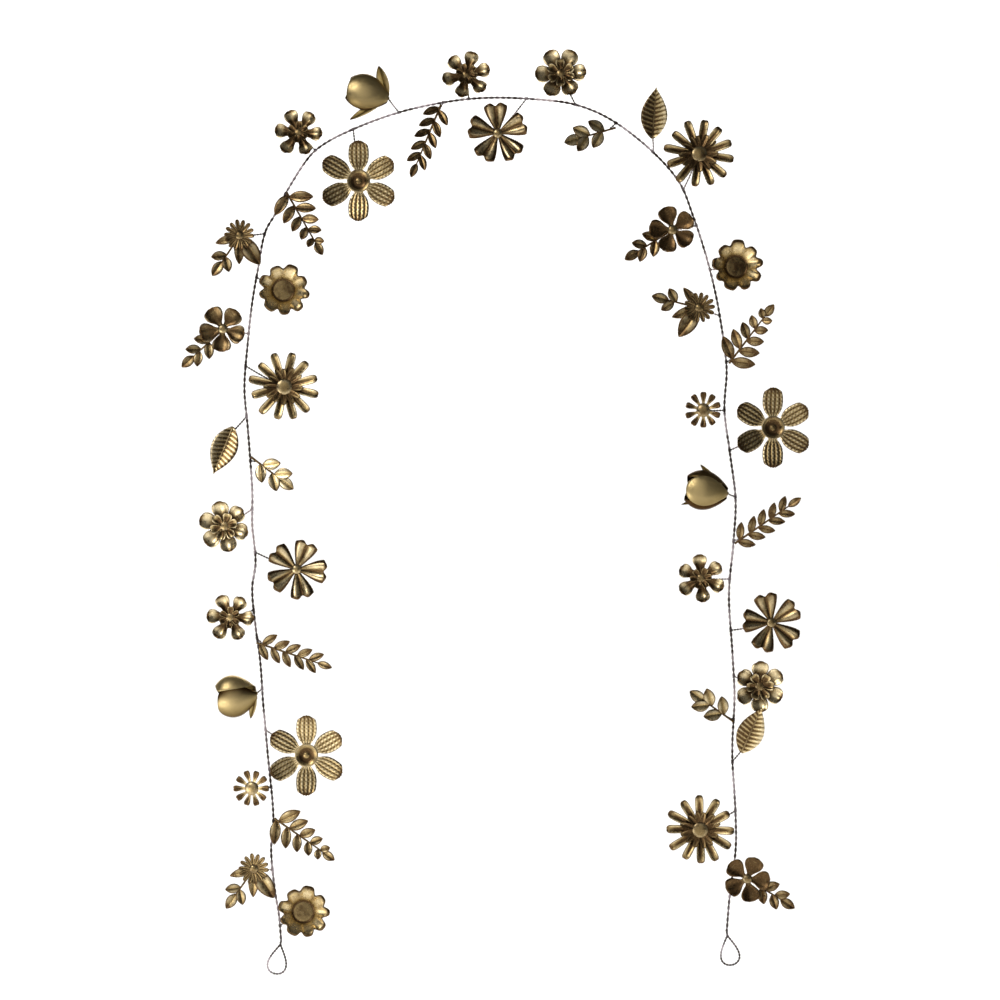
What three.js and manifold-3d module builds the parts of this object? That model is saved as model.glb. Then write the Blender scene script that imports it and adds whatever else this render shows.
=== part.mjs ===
// A metal floral garland: stamped brass blooms, leaves and fronds, each on a thin wire stem
// of its own, along one stout twisted wire that is bent to an arch and ends in two loops.
// Millimetres, +Z up, the blooms facing -Y. The origin is in the wire, at the top of the arch.

import * as THREE from "three";
import { mergeVertices } from "three/addons/utils/BufferGeometryUtils.js";
import Module from "manifold-3d";

const manifold = await Module();
manifold.setup();

// Wires: the main one and the stems are each two strands twisted together.
const WIRE_DIAMETER = 2.4;
const WIRE_SIDES = 6;
const WIRE_STEPS = 80;
const STEM_DIAMETER = 1.5;
const STEM_SIDES = 3;
const STEM_STEPS = 2;
const STEM_SAG = 0.04;
const BUD_STEM_GAP = 1.6;
const STEM_FOLLOW = 0.5;
const LOOP_WIRE_DIAMETER = 1.8;
const LOOP_WIDTH = 19;
const LOOP_LENGTH = 27.5;
const LOOP_STEPS = 13;
const LOOP_NECK = 5;
const LOOP_TAPER = 1.4;
const LOOP_BULGE = 0.62;
const LOOP_TUCK = 1.5;

// Sheet: the stamped pieces, and the clearances between neighbours.
const SHEET = 1.0;
const GAP = 0.3;
const BACK_PLANE = -(WIRE_DIAMETER / 2 + GAP);
const STEM_END_Y = BACK_PLANE + GAP + STEM_DIAMETER / 2;
const LAYER = 2.2;
const HUB_LIFT = 0.1;
const WIDEST_BUD = 20;
const BUD_FLATNESS = 0.52;
const BUD_AXIS_HEIGHT = WIDEST_BUD * BUD_FLATNESS + 1.2;
const FLOWER_NOD = 6;
const FROND_LIFT = 6;
const STEM_UNDER_FROND = 7;

// Fronds: the rib's height, how much of their width short leaves keep, and how many degrees the
// pairs close up towards the tip.
const RIB_HEIGHT = 0.8;
const LEAF_KEEPS = 0.4;
const SPLAY_CLOSES = 8;

// The route of the main wire, as [x, z], from its left end over the arch to its right end.
const WIRE_ROUTE = [
  [-197, -758], [-199, -735], [-202, -717], [-206, -677], [-204, -648], [-209, -591],
  [-213, -547], [-216, -505], [-220, -476], [-223, -441], [-220, -418], [-223, -384],
  [-223, -355], [-227, -297], [-230, -262], [-227, -220], [-223, -184], [-218, -155],
  [-211, -120], [-202, -104], [-193, -86], [-170, -51], [-156, -40], [-132, -28],
  [-91, -13], [-51, -4], [-15, 0], [30, -1], [68, -6], [99, -19], [138, -49], [162, -77],
  [173, -104], [186, -144], [195, -181], [203, -232], [204, -247], [202, -281], [207, -320],
  [212, -362], [210, -401], [206, -446], [209, -497], [211, -538], [209, -589], [212, -645],
  [212, -677], [207, -715], [204, -750],
];

// Where each piece sits, from the left end to the right: its centre or, for a frond or leaf,
// its root, then the turn of its first petal or its tip, and where its stem leaves the wire.
// A tulip also has its bud's length and girth, which is half its breadth, and its sepals.
const PLACES = [
  { kind: "bowl_flower", x: -177, z: -732, turn: 10, foot: [-199, -744] },
  { kind: "daisy_cluster", x: -221, z: -693, turn: -56, foot: [-204, -694] },
  { kind: "wide_frond", x: -203, z: -648, turn: -34, foot: [-204, -650] },
  { kind: "small_daisy", x: -223, z: -621, turn: 0, foot: [-207, -619] },
  { kind: "pleated_flower", x: -174, z: -591, turn: 90, foot: [-211, -568] },
  {
    kind: "tulip", x: -218, z: -535, turn: -171, foot: [-214, -531], bud: 36, girth: 19.6,
    sepals: [[70, 23, 6]],
  },
  { kind: "narrow_frond", x: -219, z: -490, turn: -18, foot: [-219, -487] },
  { kind: "cupped_flower", x: -242, z: -467, turn: 56, foot: [-221, -461] },
  { kind: "notched_flower", x: -183, z: -424, turn: 67, foot: [-220, -408] },
  { kind: "double_flower", x: -247, z: -385, turn: 43, foot: [-223, -369] },
  { kind: "small_frond", x: -224, z: -323, turn: -37, foot: [-224, -326] },
  { kind: "ribbed_leaf", x: -240, z: -296, turn: -112, foot: [-228, -286] },
  { kind: "large_daisy", x: -194, z: -260, turn: 16, foot: [-228, -242] },
  { kind: "five_petal_cluster", x: -249, z: -208, turn: 50, tail: -137, foot: [-225, -212] },
  { kind: "bowl_flower", x: -195, z: -173, turn: 0, foot: [-220, -161] },
  { kind: "daisy_cluster", x: -234, z: -124, turn: -55, foot: [-212, -123] },
  { kind: "wide_frond", x: -192, z: -85, turn: -60, foot: [-193, -86] },
  { kind: "cupped_flower", x: -181, z: -32, turn: 54, foot: [-166, -48] },
  { kind: "pleated_flower", x: -127, z: -75, turn: 90, foot: [-132, -28] },
  {
    kind: "tulip", x: -100, z: -2, turn: 165, foot: [-91, -13], bud: 38, girth: 16.5,
    sepals: [[-60, 30, 10], [45, 39, 7]],
  },
  { kind: "narrow_frond", x: -53, z: -6, turn: -112, foot: [-52, -5] },
  { kind: "cupped_flower", x: -30, z: 20, turn: 15, foot: [-27, 0] },
  { kind: "notched_flower", x: -2, z: -32, turn: 22, foot: [25, -2] },
  { kind: "double_flower", x: 55, z: 21, turn: 1, foot: [68, -5] },
  { kind: "small_frond", x: 104, z: -27, turn: -163, foot: [103, -24] },
  { kind: "ribbed_leaf", x: 137, z: -37, turn: 86, foot: [138, -48] },
  { kind: "large_daisy", x: 179, z: -51, turn: 20, foot: [164, -82] },
  { kind: "five_petal_cluster", x: 155, z: -119, turn: 35, tail: -148, foot: [178, -114] },
  { kind: "bowl_flower", x: 212, z: -152, turn: 20, foot: [190, -155] },
  { kind: "daisy_cluster", x: 179, z: -189, turn: -125, foot: [197, -197] },
  { kind: "wide_frond", x: 206, z: -239, turn: 53, foot: [204, -238] },
  { kind: "small_daisy", x: 183, z: -281, turn: 18, foot: [202, -281] },
  { kind: "pleated_flower", x: 245, z: -297, turn: 90, foot: [209, -318] },
  {
    kind: "tulip", x: 204, z: -356, turn: 172, foot: [211, -358], bud: 38, girth: 19,
    sepals: [[-40, 35, 6], [22, 42, 5]],
  },
  { kind: "narrow_frond", x: 211, z: -401, turn: 35, foot: [211, -398] },
  { kind: "cupped_flower", x: 181, z: -432, turn: 35, foot: [207, -432] },
  { kind: "notched_flower", x: 244, z: -472, turn: 32, foot: [208, -478] },
  { kind: "double_flower", x: 233, z: -529, turn: 30, foot: [211, -521] },
  { kind: "small_frond", x: 210, z: -561, turn: 145, foot: [210, -559] },
  { kind: "ribbed_leaf", x: 217, z: -589, turn: 67, lift: 12, foot: [210, -599] },
  { kind: "large_daisy", x: 180, z: -658, turn: 0, foot: [213, -640] },
  { kind: "five_petal_cluster", x: 222, z: -702, turn: 66, tail: -32, foot: [208, -706] },
];

// The loops: each hangs below the wire's end, leaning a little, as [x, z] and degrees.
const LOOPS = [
  { name: "left_end_loop", throat: [-197, -758], lean: 10 },
  { name: "right_end_loop", throat: [204, -750], lean: -8 },
];

const DARK_WIRE = { color: 0x33291f, roughness: 0.5, metalness: 0.8 };
const BRASS = { color: 0x9a8048, roughness: 0.42, metalness: 0.9 };
const SATIN_BRASS = { color: 0xb39f5c, roughness: 0.34, metalness: 0.9 };

const garland = new THREE.Group();

// Moves every point of a closed shape and merges the points that meet.
function reshape(geometry, move) {
  geometry.deleteAttribute("normal");
  geometry.deleteAttribute("uv");
  const places = geometry.attributes.position;
  const point = new THREE.Vector3();
  for (let i = 0; i < places.count; i += 1) {
    point.fromBufferAttribute(places, i);
    move(point);
    places.setXYZ(i, point.x, point.y, point.z);
  }
  return mergeVertices(geometry, 1e-4);
}

// Joins closed shapes that overlap into one closed body.
function join(shapes) {
  const bodies = shapes.map((shape) => {
    const closed = reshape(shape.clone(), () => {});
    return new manifold.Manifold(new manifold.Mesh({
      numProp: 3,
      vertProperties: Float32Array.from(closed.attributes.position.array),
      triVerts: Uint32Array.from(closed.index.array),
    }));
  });
  const mesh = bodies.reduce((all, next) => all.add(next)).getMesh();
  const joined = new THREE.BufferGeometry();
  joined.setAttribute("position", new THREE.BufferAttribute(mesh.vertProperties, 3));
  joined.setIndex(new THREE.BufferAttribute(mesh.triVerts, 1));
  return joined;
}

// A petal or leaf of thin sheet along +X, its face to +Z, pointed or with a `blunt` tip. `full`
// under 1 squares its sides and over 1 points them, `egg` over 0 widens it towards the tip.
// `dish` sinks its middle, `fold` lifts its sides, `slope` and `curl` lift it towards the tip.
function blade({
  start = 0, length, width, sides = 6, rings = 1, full = 1, egg = 0, blunt = false,
  dish = 0, fold = 0, slope = 0, curl = 0,
}) {
  const blank = new THREE.SphereGeometry(1, sides, 2 * rings);
  if (blunt) {
    blank.rotateY(Math.PI / sides);
  }
  return reshape(blank, (p) => {
    const reach = Math.min(1, Math.hypot(p.x, p.z));
    const cos = reach > 0 ? p.x / reach : 0;
    const sin = reach > 0 ? -p.z / reach : 0;
    const halfWidth = (width / 2) * Math.abs(sin) ** full * (1 + egg * cos);
    const along = length * (0.5 + reach * cos / 2);
    const across = Math.sign(sin) * halfWidth * reach;
    const height = slope * along + curl * along * along / length - dish * (1 - reach * reach);
    p.set(start + along, across, height + fold * Math.abs(across) + p.y * SHEET / 2);
  });
}

// A round lens or star: every second point of its rim is at `inner`, and lifted by `lift`.
function star({ outer, inner = outer, points, thickness = SHEET, at = 0, lift = 0, sink = 0 }) {
  const sides = inner === outer ? points : 2 * points;
  return reshape(new THREE.SphereGeometry(1, sides, 2), (p) => {
    const angle = Math.atan2(-p.z, p.x);
    const tip = 0.5 + 0.5 * Math.cos(angle * points);
    const radius = inner === outer ? outer : inner + (outer - inner) * tip;
    const reach = Math.hypot(p.x, p.z);
    const rise = lift * reach * (inner === outer ? 1 : tip) - sink * (1 - reach);
    const height = at + rise + p.y * thickness / 2;
    p.set(radius * reach * Math.cos(angle), radius * reach * Math.sin(angle), height);
  });
}

// A plate of petals cut from one round of sheet. `rim` gives one petal's edge points as [share
// of the petal's turn, radius, height], and the sheet thins from `thickness` in the middle.
function plate({ petals, rim, thickness = SHEET, at = 0, boss = 0 }) {
  const sides = petals * rim.length;
  return reshape(new THREE.SphereGeometry(1, sides, 2), (p) => {
    if (Math.abs(p.y) > 0.5) {
      p.set(0, 0, at + (p.y > 0 ? boss + thickness / 2 : -thickness / 2));
      return;
    }
    const step = Math.round(Math.atan2(-p.z, p.x) / (2 * Math.PI) * sides + sides) % sides;
    const [share, radius, height] = rim[step % rim.length];
    const angle = 2 * Math.PI * (Math.floor(step / rim.length) + share) / petals;
    p.set(radius * Math.cos(angle), radius * Math.sin(angle), at + height);
  });
}

// Copies of one petal set round the centre, `turn` degrees from +X.
function ring(petal, count, turn = 0) {
  return Array.from({ length: count }, (unused, i) => {
    return petal.clone().rotateZ(THREE.MathUtils.degToRad(turn + 360 * i / count));
  });
}

// A frond along +X: a tapering rib with leaves in pairs, from `first` to `last` along it, and one
// at the tip.
function frond({
  length, pairs, first, last = first, tipLeaf, leaf, leafAtTip, width, splay, leafSides = 6,
}) {
  const breadth = (reach) => width * THREE.MathUtils.lerp(LEAF_KEEPS, 1, reach / leaf);
  const ribLength = length - tipLeaf * 0.8;
  const rib = new THREE.CylinderGeometry(0.7, 1.1, ribLength, 4).rotateY(Math.PI / 4);
  rib.rotateZ(-Math.PI / 2).translate(ribLength / 2, 0, RIB_HEIGHT);
  const parts = [rib];
  for (let i = 0; i < pairs; i += 1) {
    const share = i / Math.max(1, pairs - 1);
    const station = THREE.MathUtils.lerp(first, last, share);
    const reach = THREE.MathUtils.lerp(leaf, leafAtTip, share);
    for (const side of [-1, 1]) {
      const blank = blade({
        length: reach, width: breadth(reach), sides: leafSides, full: 1.2, slope: 0.12, fold: 0.2,
      });
      blank.rotateZ(side * THREE.MathUtils.degToRad(splay - SPLAY_CLOSES * share));
      parts.push(blank.translate(station, side * 0.15, RIB_HEIGHT));
    }
  }
  const end = blade({
    length: tipLeaf, width: breadth(tipLeaf), full: 1.2, slope: 0.1, fold: 0.2,
  });
  parts.push(end.translate(length - tipLeaf, 0, RIB_HEIGHT));
  return join(parts);
}

// A deep cup of nine frilled lobes round a dark hollow.
function bowlFlower() {
  const radius = 22.2;
  const depth = 11;
  const lobes = 9;
  const profile = [
    [0, 0], [0.42, 0.02], [0.8, 0.42], [1, 1], [0.94, 1.06], [0.72, 0.52], [0.38, 0.15], [0, 0.13],
  ].map(([r, h]) => new THREE.Vector2(r * radius, h * depth));
  const cup = new THREE.LatheGeometry(profile, 2 * lobes);
  cup.rotateX(Math.PI / 2);
  return closeLathe(cup, (p) => {
    const angle = Math.atan2(p.y, p.x);
    const out = Math.hypot(p.x, p.y) / radius;
    const frill = Math.cos(lobes * angle) * out * out;
    p.x *= 1 + 0.075 * frill;
    p.y *= 1 + 0.075 * frill;
    p.z *= 1 - 0.1 * frill;
  });
}

// Drops the empty faces that a lathe leaves on its axis, after moving its points.
function closeLathe(geometry, move) {
  const closed = reshape(geometry, move);
  const index = closed.index.array;
  const kept = [];
  for (let i = 0; i < index.length; i += 3) {
    const [a, b, c] = [index[i], index[i + 1], index[i + 2]];
    if (a !== b && b !== c && c !== a) {
      kept.push(a, b, c);
    }
  }
  closed.setIndex(kept);
  return closed;
}

// A hub of flat sides, each facing a petal, that flares or narrows to `top` at its face.
function hub({ radius, top = radius, sides, height, dip = 0 }) {
  const body = new THREE.CylinderGeometry(top, radius, height, sides);
  body.rotateX(Math.PI / 2).rotateZ(Math.PI / sides - Math.PI / 2);
  return reshape(body, (p) => {
    const onFace = Math.hypot(p.x, p.y) < 0.01 && p.z > 0;
    p.z += height / 2 + HUB_LIFT - (onFace ? dip : 0);
  });
}

// Six long oval petals on narrow waists round a raised cup.
function pleatedFlower() {
  const petal = blade({
    start: 6.6, length: 31.2, width: 16.4, sides: 8, full: 0.62, egg: 0.3, dish: 1.6, slope: 0.1,
    curl: 0.06,
  });
  const cup = hub({ radius: 7.8, top: 10.4, sides: 6, height: 5, dip: 2 });
  return join([...ring(petal.translate(0, 0, 1.6), 6), cup]);
}

// Six spoons with curled tips, and a small inner ring.
function cuppedFlower() {
  const petal = blade({
    start: 3.2, length: 19.2, width: 13.4, full: 0.7, egg: 0.5, blunt: true, dish: 2.2,
    slope: 0.1, curl: 0.2,
  });
  const inner = star({ outer: 10, inner: 6, points: 6, thickness: 1.6, at: 5.3, lift: 2 });
  const seat = hub({ radius: 5.6, sides: 6, height: 4.8 });
  return join([...ring(petal.translate(0, 0, 2.2), 6), seat, inner.rotateZ(Math.PI / 6)]);
}

// Six round petals with rolled rims, and a second ring turned between them.
function doubleFlower() {
  const petal = blade({
    start: 3.8, length: 19.8, width: 15, full: 0.6, egg: 0.5, blunt: true, dish: 2.4,
    slope: 0.12, curl: 0.1,
  });
  const inner = star({ outer: 13.5, inner: 8, points: 6, thickness: 2.6, at: 5.6, lift: 2 });
  const seat = hub({ radius: 6.6, sides: 6, height: 5 });
  return join([...ring(petal.translate(0, 0, 2.4), 6), seat, inner.rotateZ(Math.PI / 6)]);
}

// Five wedge petals, widest at the rim, each with a notch and a crease.
function notchedFlower() {
  return plate({
    petals: 5, thickness: 2.4, at: 1.4, boss: 2,
    rim: [
      [0, 24.5, 2.6], [0.14, 28, 4], [0.29, 25.5, 4.6], [0.5, 6.5, 0.6], [0.71, 25.5, 4.6],
      [0.86, 28, 4],
    ],
  });
}

// Five round spoons with narrow waists.
function fivePetalFlower() {
  const petal = blade({
    start: 2.8, length: 18.6, width: 15, full: 0.6, egg: 0.55, blunt: true, dish: 2.4,
    slope: 0.1, curl: 0.12,
  });
  const seat = hub({ radius: 6, top: 5, sides: 5, height: 4, dip: -0.8 });
  return join([...ring(petal.translate(0, 0, 2.4), 5), seat]);
}

// Twelve narrow gutters, and a shorter pointed ring that lifts off them.
function largeDaisy() {
  const gutters = plate({
    petals: 12, thickness: 2.6, at: 1.5, boss: 4.2,
    rim: [[0, 32.6, 3], [0.17, 29.4, 4.4], [0.5, 10, 0.4], [0.83, 29.4, 4.4]],
  });
  const inner = star({ outer: 17, inner: 9, points: 8, thickness: 3, at: 4.6, lift: 2.4 });
  return join([gutters, inner]);
}

// Ten club petals round a domed button.
function smallDaisy() {
  return plate({
    petals: 10, thickness: 2.2, at: 1.2, boss: 2.6,
    rim: [[0, 16.4, 2.6], [0.24, 14.8, 2.8], [0.5, 7.4, 0.6], [0.76, 14.8, 2.8]],
  });
}

// Fourteen pointed rays round a small dome.
function pointedDaisy() {
  return plate({
    petals: 14, thickness: 2, at: 1, boss: 2.4, rim: [[0, 14, 2], [0.5, 8.4, 0.6]],
  });
}

// The broad, the narrow and the pointed leaf behind a small daisy, fanned from one eye.
function clusterLeaves() {
  const broad = blade({
    start: 2, length: 30, width: 14, sides: 8, full: 1.15, egg: 0.1, fold: 0.18,
  });
  const narrow = blade({ length: 26, width: 8, full: 1.1, fold: 0.2 });
  const pointed = blade({ length: 23, width: 7, full: 1.1, fold: 0.2 });
  narrow.rotateZ(THREE.MathUtils.degToRad(-36));
  pointed.rotateZ(THREE.MathUtils.degToRad(-107));
  const eye = star({ outer: 3, points: 6, thickness: 1.2 });
  return join([broad, narrow, pointed, eye]);
}

// A broad leaf with a midrib and raised side ribs.
function ribbedLeaf() {
  const rib = new THREE.CylinderGeometry(0.5, 1, 40, 4).rotateZ(-Math.PI / 2);
  const plate = blade({
    length: 46, width: 24, sides: 10, rings: 2, full: 0.95, egg: -0.05, fold: 0.16, curl: 0.04,
  });
  return join([plate.translate(0, 0, 0.9), rib.translate(20, 0, 1.1)]);
}

// A petal bent round the bud's axis at `around` degrees, with 0 at the front.
function budPetal({ length, width, around, radius }) {
  const flat = blade({ length, width, sides: 8, rings: 2, full: 0.75, egg: 0.1 });
  return reshape(flat, (p) => {
    const share = THREE.MathUtils.clamp(p.x / length, 0, 1);
    const swell = radius * Math.sin(Math.PI * (0.01 + 0.79 * share)) ** 0.8 + p.z;
    const angle = THREE.MathUtils.degToRad(around) + p.y / radius;
    p.set(p.x, swell * Math.sin(angle), BUD_AXIS_HEIGHT + BUD_FLATNESS * swell * Math.cos(angle));
  });
}

// A bud of three satin petals on a small cap, opening along +X, and its narrow sepals, each
// given as its angle from the bud's axis, its length and its width.
function tulip({ bud, girth, sepals }) {
  const petals = [
    budPetal({ length: bud, width: 2 * girth, around: 40, radius: girth }),
    budPetal({ length: bud + 2, width: 1.8 * girth, around: -52, radius: girth - 1.4 }),
    budPetal({ length: bud - 2, width: 1.6 * girth, around: -150, radius: girth }),
  ];
  const cap = new THREE.CylinderGeometry(4.6, 1.6, 6, 8).rotateZ(-Math.PI / 2);
  const fan = sepals.map(([angle, length, width]) => {
    const sepal = blade({ length, width, full: 0.9, fold: 0.2 });
    return sepal.rotateZ(THREE.MathUtils.degToRad(angle)).translate(1, 0, BUD_AXIS_HEIGHT);
  });
  return join([...petals, cap.translate(2, 0, BUD_AXIS_HEIGHT), ...fan]);
}

// Each kind's pieces, from the back to the front: a name, how it's made, and its finish, turn
// and distance forward. A kind nods away from the wire, or lifts its tip, by some degrees.
const KINDS = {
  bowl_flower: { nod: FLOWER_NOD, pieces: [{ name: "bowl_flower", make: bowlFlower }] },
  daisy_cluster: {
    pieces: [
      {
        name: "daisy_sprig",
        turnBy: -69,
        make: () => frond({
          length: 44, pairs: 1, first: 22, tipLeaf: 16, leaf: 14, leafAtTip: 14, width: 7.4,
          splay: 48,
        }),
      },
      { name: "daisy_leaves", make: clusterLeaves, forward: LAYER },
      { name: "pointed_daisy", make: pointedDaisy, forward: 2 * LAYER },
    ],
  },
  wide_frond: {
    lift: FROND_LIFT,
    pieces: [{
      name: "wide_frond",
      make: () => frond({
        length: 66.5, pairs: 5, first: 4, last: 49.5, tipLeaf: 13.5, leaf: 22, leafAtTip: 9.5,
        width: 9, splay: 58,
      }),
    }],
  },
  small_daisy: { nod: FLOWER_NOD, pieces: [{ name: "small_daisy", make: smallDaisy }] },
  pleated_flower: {
    nod: FLOWER_NOD / 2,
    pieces: [{ name: "pleated_flower", make: pleatedFlower }],
  },
  tulip: { root: BUD_AXIS_HEIGHT, pieces: [{ name: "tulip", make: tulip, finish: SATIN_BRASS }] },
  narrow_frond: {
    lift: FROND_LIFT,
    pieces: [{
      name: "narrow_frond",
      make: () => frond({
        length: 72.5, pairs: 5, first: 4.5, last: 49, tipLeaf: 14, leaf: 16.4, leafAtTip: 15,
        width: 6.4, splay: 46, leafSides: 4,
      }),
    }],
  },
  cupped_flower: { nod: FLOWER_NOD, pieces: [{ name: "cupped_flower", make: cuppedFlower }] },
  notched_flower: {
    nod: FLOWER_NOD / 2,
    pieces: [{ name: "notched_flower", make: notchedFlower }],
  },
  double_flower: { nod: FLOWER_NOD, pieces: [{ name: "double_flower", make: doubleFlower }] },
  small_frond: {
    lift: FROND_LIFT,
    pieces: [{
      name: "small_frond",
      make: () => frond({
        length: 49, pairs: 2, first: 12, last: 25.5, tipLeaf: 17, leaf: 17, leafAtTip: 17,
        width: 9, splay: 46,
      }),
    }],
  },
  ribbed_leaf: { lift: FROND_LIFT, pieces: [{ name: "ribbed_leaf", make: ribbedLeaf }] },
  large_daisy: { nod: FLOWER_NOD / 2, pieces: [{ name: "large_daisy", make: largeDaisy }] },
  five_petal_cluster: {
    pieces: [
      {
        name: "five_petal_sprig",
        byTail: true,
        make: () => frond({
          length: 51, pairs: 2, first: 16.5, last: 28, tipLeaf: 15, leaf: 15, leafAtTip: 14,
          width: 7.6, splay: 50,
        }),
      },
      { name: "five_petal_flower", make: fivePetalFlower, forward: LAYER },
    ],
  },
};

// A wire with a round section of few sides along a curve.
function wire(curve, diameter, sides, steps) {
  const corners = Array.from({ length: sides }, (unused, i) => {
    const angle = 2 * Math.PI * i / sides;
    return new THREE.Vector2(diameter / 2 * Math.cos(angle), diameter / 2 * Math.sin(angle));
  });
  return new THREE.ExtrudeGeometry(new THREE.Shape(corners), { steps, extrudePath: curve });
}

function addMesh(group, name, geometry, finish) {
  const mesh = new THREE.Mesh(geometry, new THREE.MeshStandardMaterial(finish));
  mesh.name = name;
  group.add(mesh);
  return mesh;
}

const mainRoute = new THREE.CatmullRomCurve3(
  WIRE_ROUTE.map(([x, z]) => new THREE.Vector3(x, 0, z)), false, "centripetal",
);

// The point of the main wire nearest to a place beside it.
const routePoints = mainRoute.getSpacedPoints(900);
function nearestOnWire([x, z]) {
  const wanted = new THREE.Vector3(x, 0, z);
  return routePoints.reduce((best, point) => {
    return point.distanceTo(wanted) < best.distanceTo(wanted) ? point : best;
  });
}

// The direction of a turn in the plane of the arch.
function heading(degrees) {
  const turn = THREE.MathUtils.degToRad(degrees);
  return new THREE.Vector3(Math.cos(turn), 0, Math.sin(turn));
}

// A stem leaves the wire, runs to its piece and ends just behind it, or below a bud.
function stem(place, foot) {
  const kind = KINDS[place.kind];
  const end = new THREE.Vector3(place.x, STEM_END_Y, place.z);
  if (kind.root) {
    end.setY(BACK_PLANE - kind.root).addScaledVector(heading(place.turn), -BUD_STEM_GAP);
  } else if (kind.lift) {
    const lift = place.lift ?? kind.lift;
    const under = STEM_UNDER_FROND * FROND_LIFT / lift;
    end.addScaledVector(heading(place.turn), under);
    end.y -= STEM_FOLLOW * under * Math.tan(THREE.MathUtils.degToRad(lift));
  }
  const elbow = foot.clone().lerp(end, 0.5);
  elbow.z -= STEM_SAG * foot.distanceTo(end);
  const route = new THREE.QuadraticBezierCurve3(foot, elbow, end);
  return wire(route, STEM_DIAMETER, STEM_SIDES, STEM_STEPS);
}

// The group that carries one place's pieces: its face to -Y, turned to nod away or to lift.
function seatGroup(place, foot) {
  const kind = KINDS[place.kind];
  const seat = new THREE.Group();
  seat.position.set(place.x, BACK_PLANE, place.z);
  seat.rotation.x = Math.PI / 2;
  const degrees = kind.nod ?? -(place.lift ?? kind.lift ?? 0);
  const ahead = kind.nod ? seat.position.clone().sub(foot).setY(0).normalize()
    : heading(place.turn);
  const axis = new THREE.Vector3(0, -1, 0).cross(ahead);
  seat.rotateOnWorldAxis(axis, THREE.MathUtils.degToRad(degrees));
  return seat;
}

// A hanging loop: a teardrop of the wire's own strands, below a short neck.
function endLoop({ throat, lean }) {
  const route = new THREE.Curve();
  route.getPoint = (t, target = new THREE.Vector3()) => {
    const angle = 2 * Math.PI * t;
    const side = Math.sin(angle) * Math.sin(angle / 2) ** LOOP_TAPER;
    const drop = (1 - Math.cos(angle)) / 2;
    return target.set(
      side * LOOP_WIDTH * LOOP_BULGE, 0, LOOP_TUCK - LOOP_NECK - drop * LOOP_LENGTH,
    );
  };
  const ringWire = wire(route, LOOP_WIRE_DIAMETER, WIRE_SIDES, LOOP_STEPS);
  const neck = new THREE.CylinderGeometry(
    WIRE_DIAMETER / 2, WIRE_DIAMETER / 2, LOOP_NECK - GAP, WIRE_SIDES,
  );
  neck.rotateX(Math.PI / 2).translate(0, 0, -(LOOP_NECK + GAP) / 2);
  const loop = join([ringWire, neck]);
  loop.rotateY(THREE.MathUtils.degToRad(lean));
  return loop.translate(throat[0], 0, throat[1]);
}

const counts = {};
const wireParts = [wire(mainRoute, WIRE_DIAMETER, WIRE_SIDES, WIRE_STEPS)];
for (const place of PLACES) {
  const foot = nearestOnWire(place.foot);
  const seat = seatGroup(place, foot);
  counts[place.kind] = (counts[place.kind] ?? 0) + 1;
  for (const piece of KINDS[place.kind].pieces) {
    const name = `${piece.name}_${counts[place.kind]}`;
    const mesh = addMesh(seat, name, piece.make(place), piece.finish ?? BRASS);
    const degrees = piece.byTail ? place.tail : place.turn + (piece.turnBy ?? 0);
    mesh.rotation.z = THREE.MathUtils.degToRad(degrees);
    mesh.position.z = piece.forward ?? 0;
  }
  garland.add(seat);
  wireParts.push(stem(place, foot));
}
addMesh(garland, "twisted_wire_and_stems", join(wireParts), DARK_WIRE);
for (const loop of LOOPS) {
  addMesh(garland, loop.name, endLoop(loop), DARK_WIRE);
}

export default garland;
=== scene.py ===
"""Dresses the metal floral garland: stamped brass blooms and fronds on a dark twisted wire.

Every class builds one kind of piece at the origin, its face to +Z, from bpy.ops primitives that
are shaped in edit mode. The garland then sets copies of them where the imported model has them.
Sizes are in millimetres where a name or a docstring says so, and everything else is in metres.
"""

import logging
import math
import random
from collections.abc import Callable, Iterable, Iterator
from contextlib import contextmanager
from dataclasses import dataclass, field
from enum import Enum

import bmesh
import bpy
import numpy as np
from mathutils import Matrix, Vector


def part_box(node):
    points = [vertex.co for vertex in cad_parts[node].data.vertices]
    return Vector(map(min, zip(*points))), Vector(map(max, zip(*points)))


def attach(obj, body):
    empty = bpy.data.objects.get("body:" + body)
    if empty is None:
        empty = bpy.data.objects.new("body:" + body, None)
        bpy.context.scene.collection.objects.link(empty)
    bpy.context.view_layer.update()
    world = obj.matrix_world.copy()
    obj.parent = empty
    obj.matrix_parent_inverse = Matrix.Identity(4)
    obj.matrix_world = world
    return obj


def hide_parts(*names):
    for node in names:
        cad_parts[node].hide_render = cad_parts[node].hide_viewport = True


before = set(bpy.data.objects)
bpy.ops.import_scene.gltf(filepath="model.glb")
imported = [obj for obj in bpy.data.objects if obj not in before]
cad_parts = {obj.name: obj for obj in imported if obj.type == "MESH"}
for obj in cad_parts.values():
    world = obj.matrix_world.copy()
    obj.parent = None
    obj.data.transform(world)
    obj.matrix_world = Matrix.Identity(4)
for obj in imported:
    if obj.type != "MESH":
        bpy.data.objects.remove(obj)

log = logging.getLogger("garland")

Piece = bpy.types.Object
Socket = bpy.types.NodeSocket
Pair = tuple[float, float]
Triple = tuple[float, float, float]

MM = 0.001
FULL_TURN = 2 * math.pi

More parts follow.
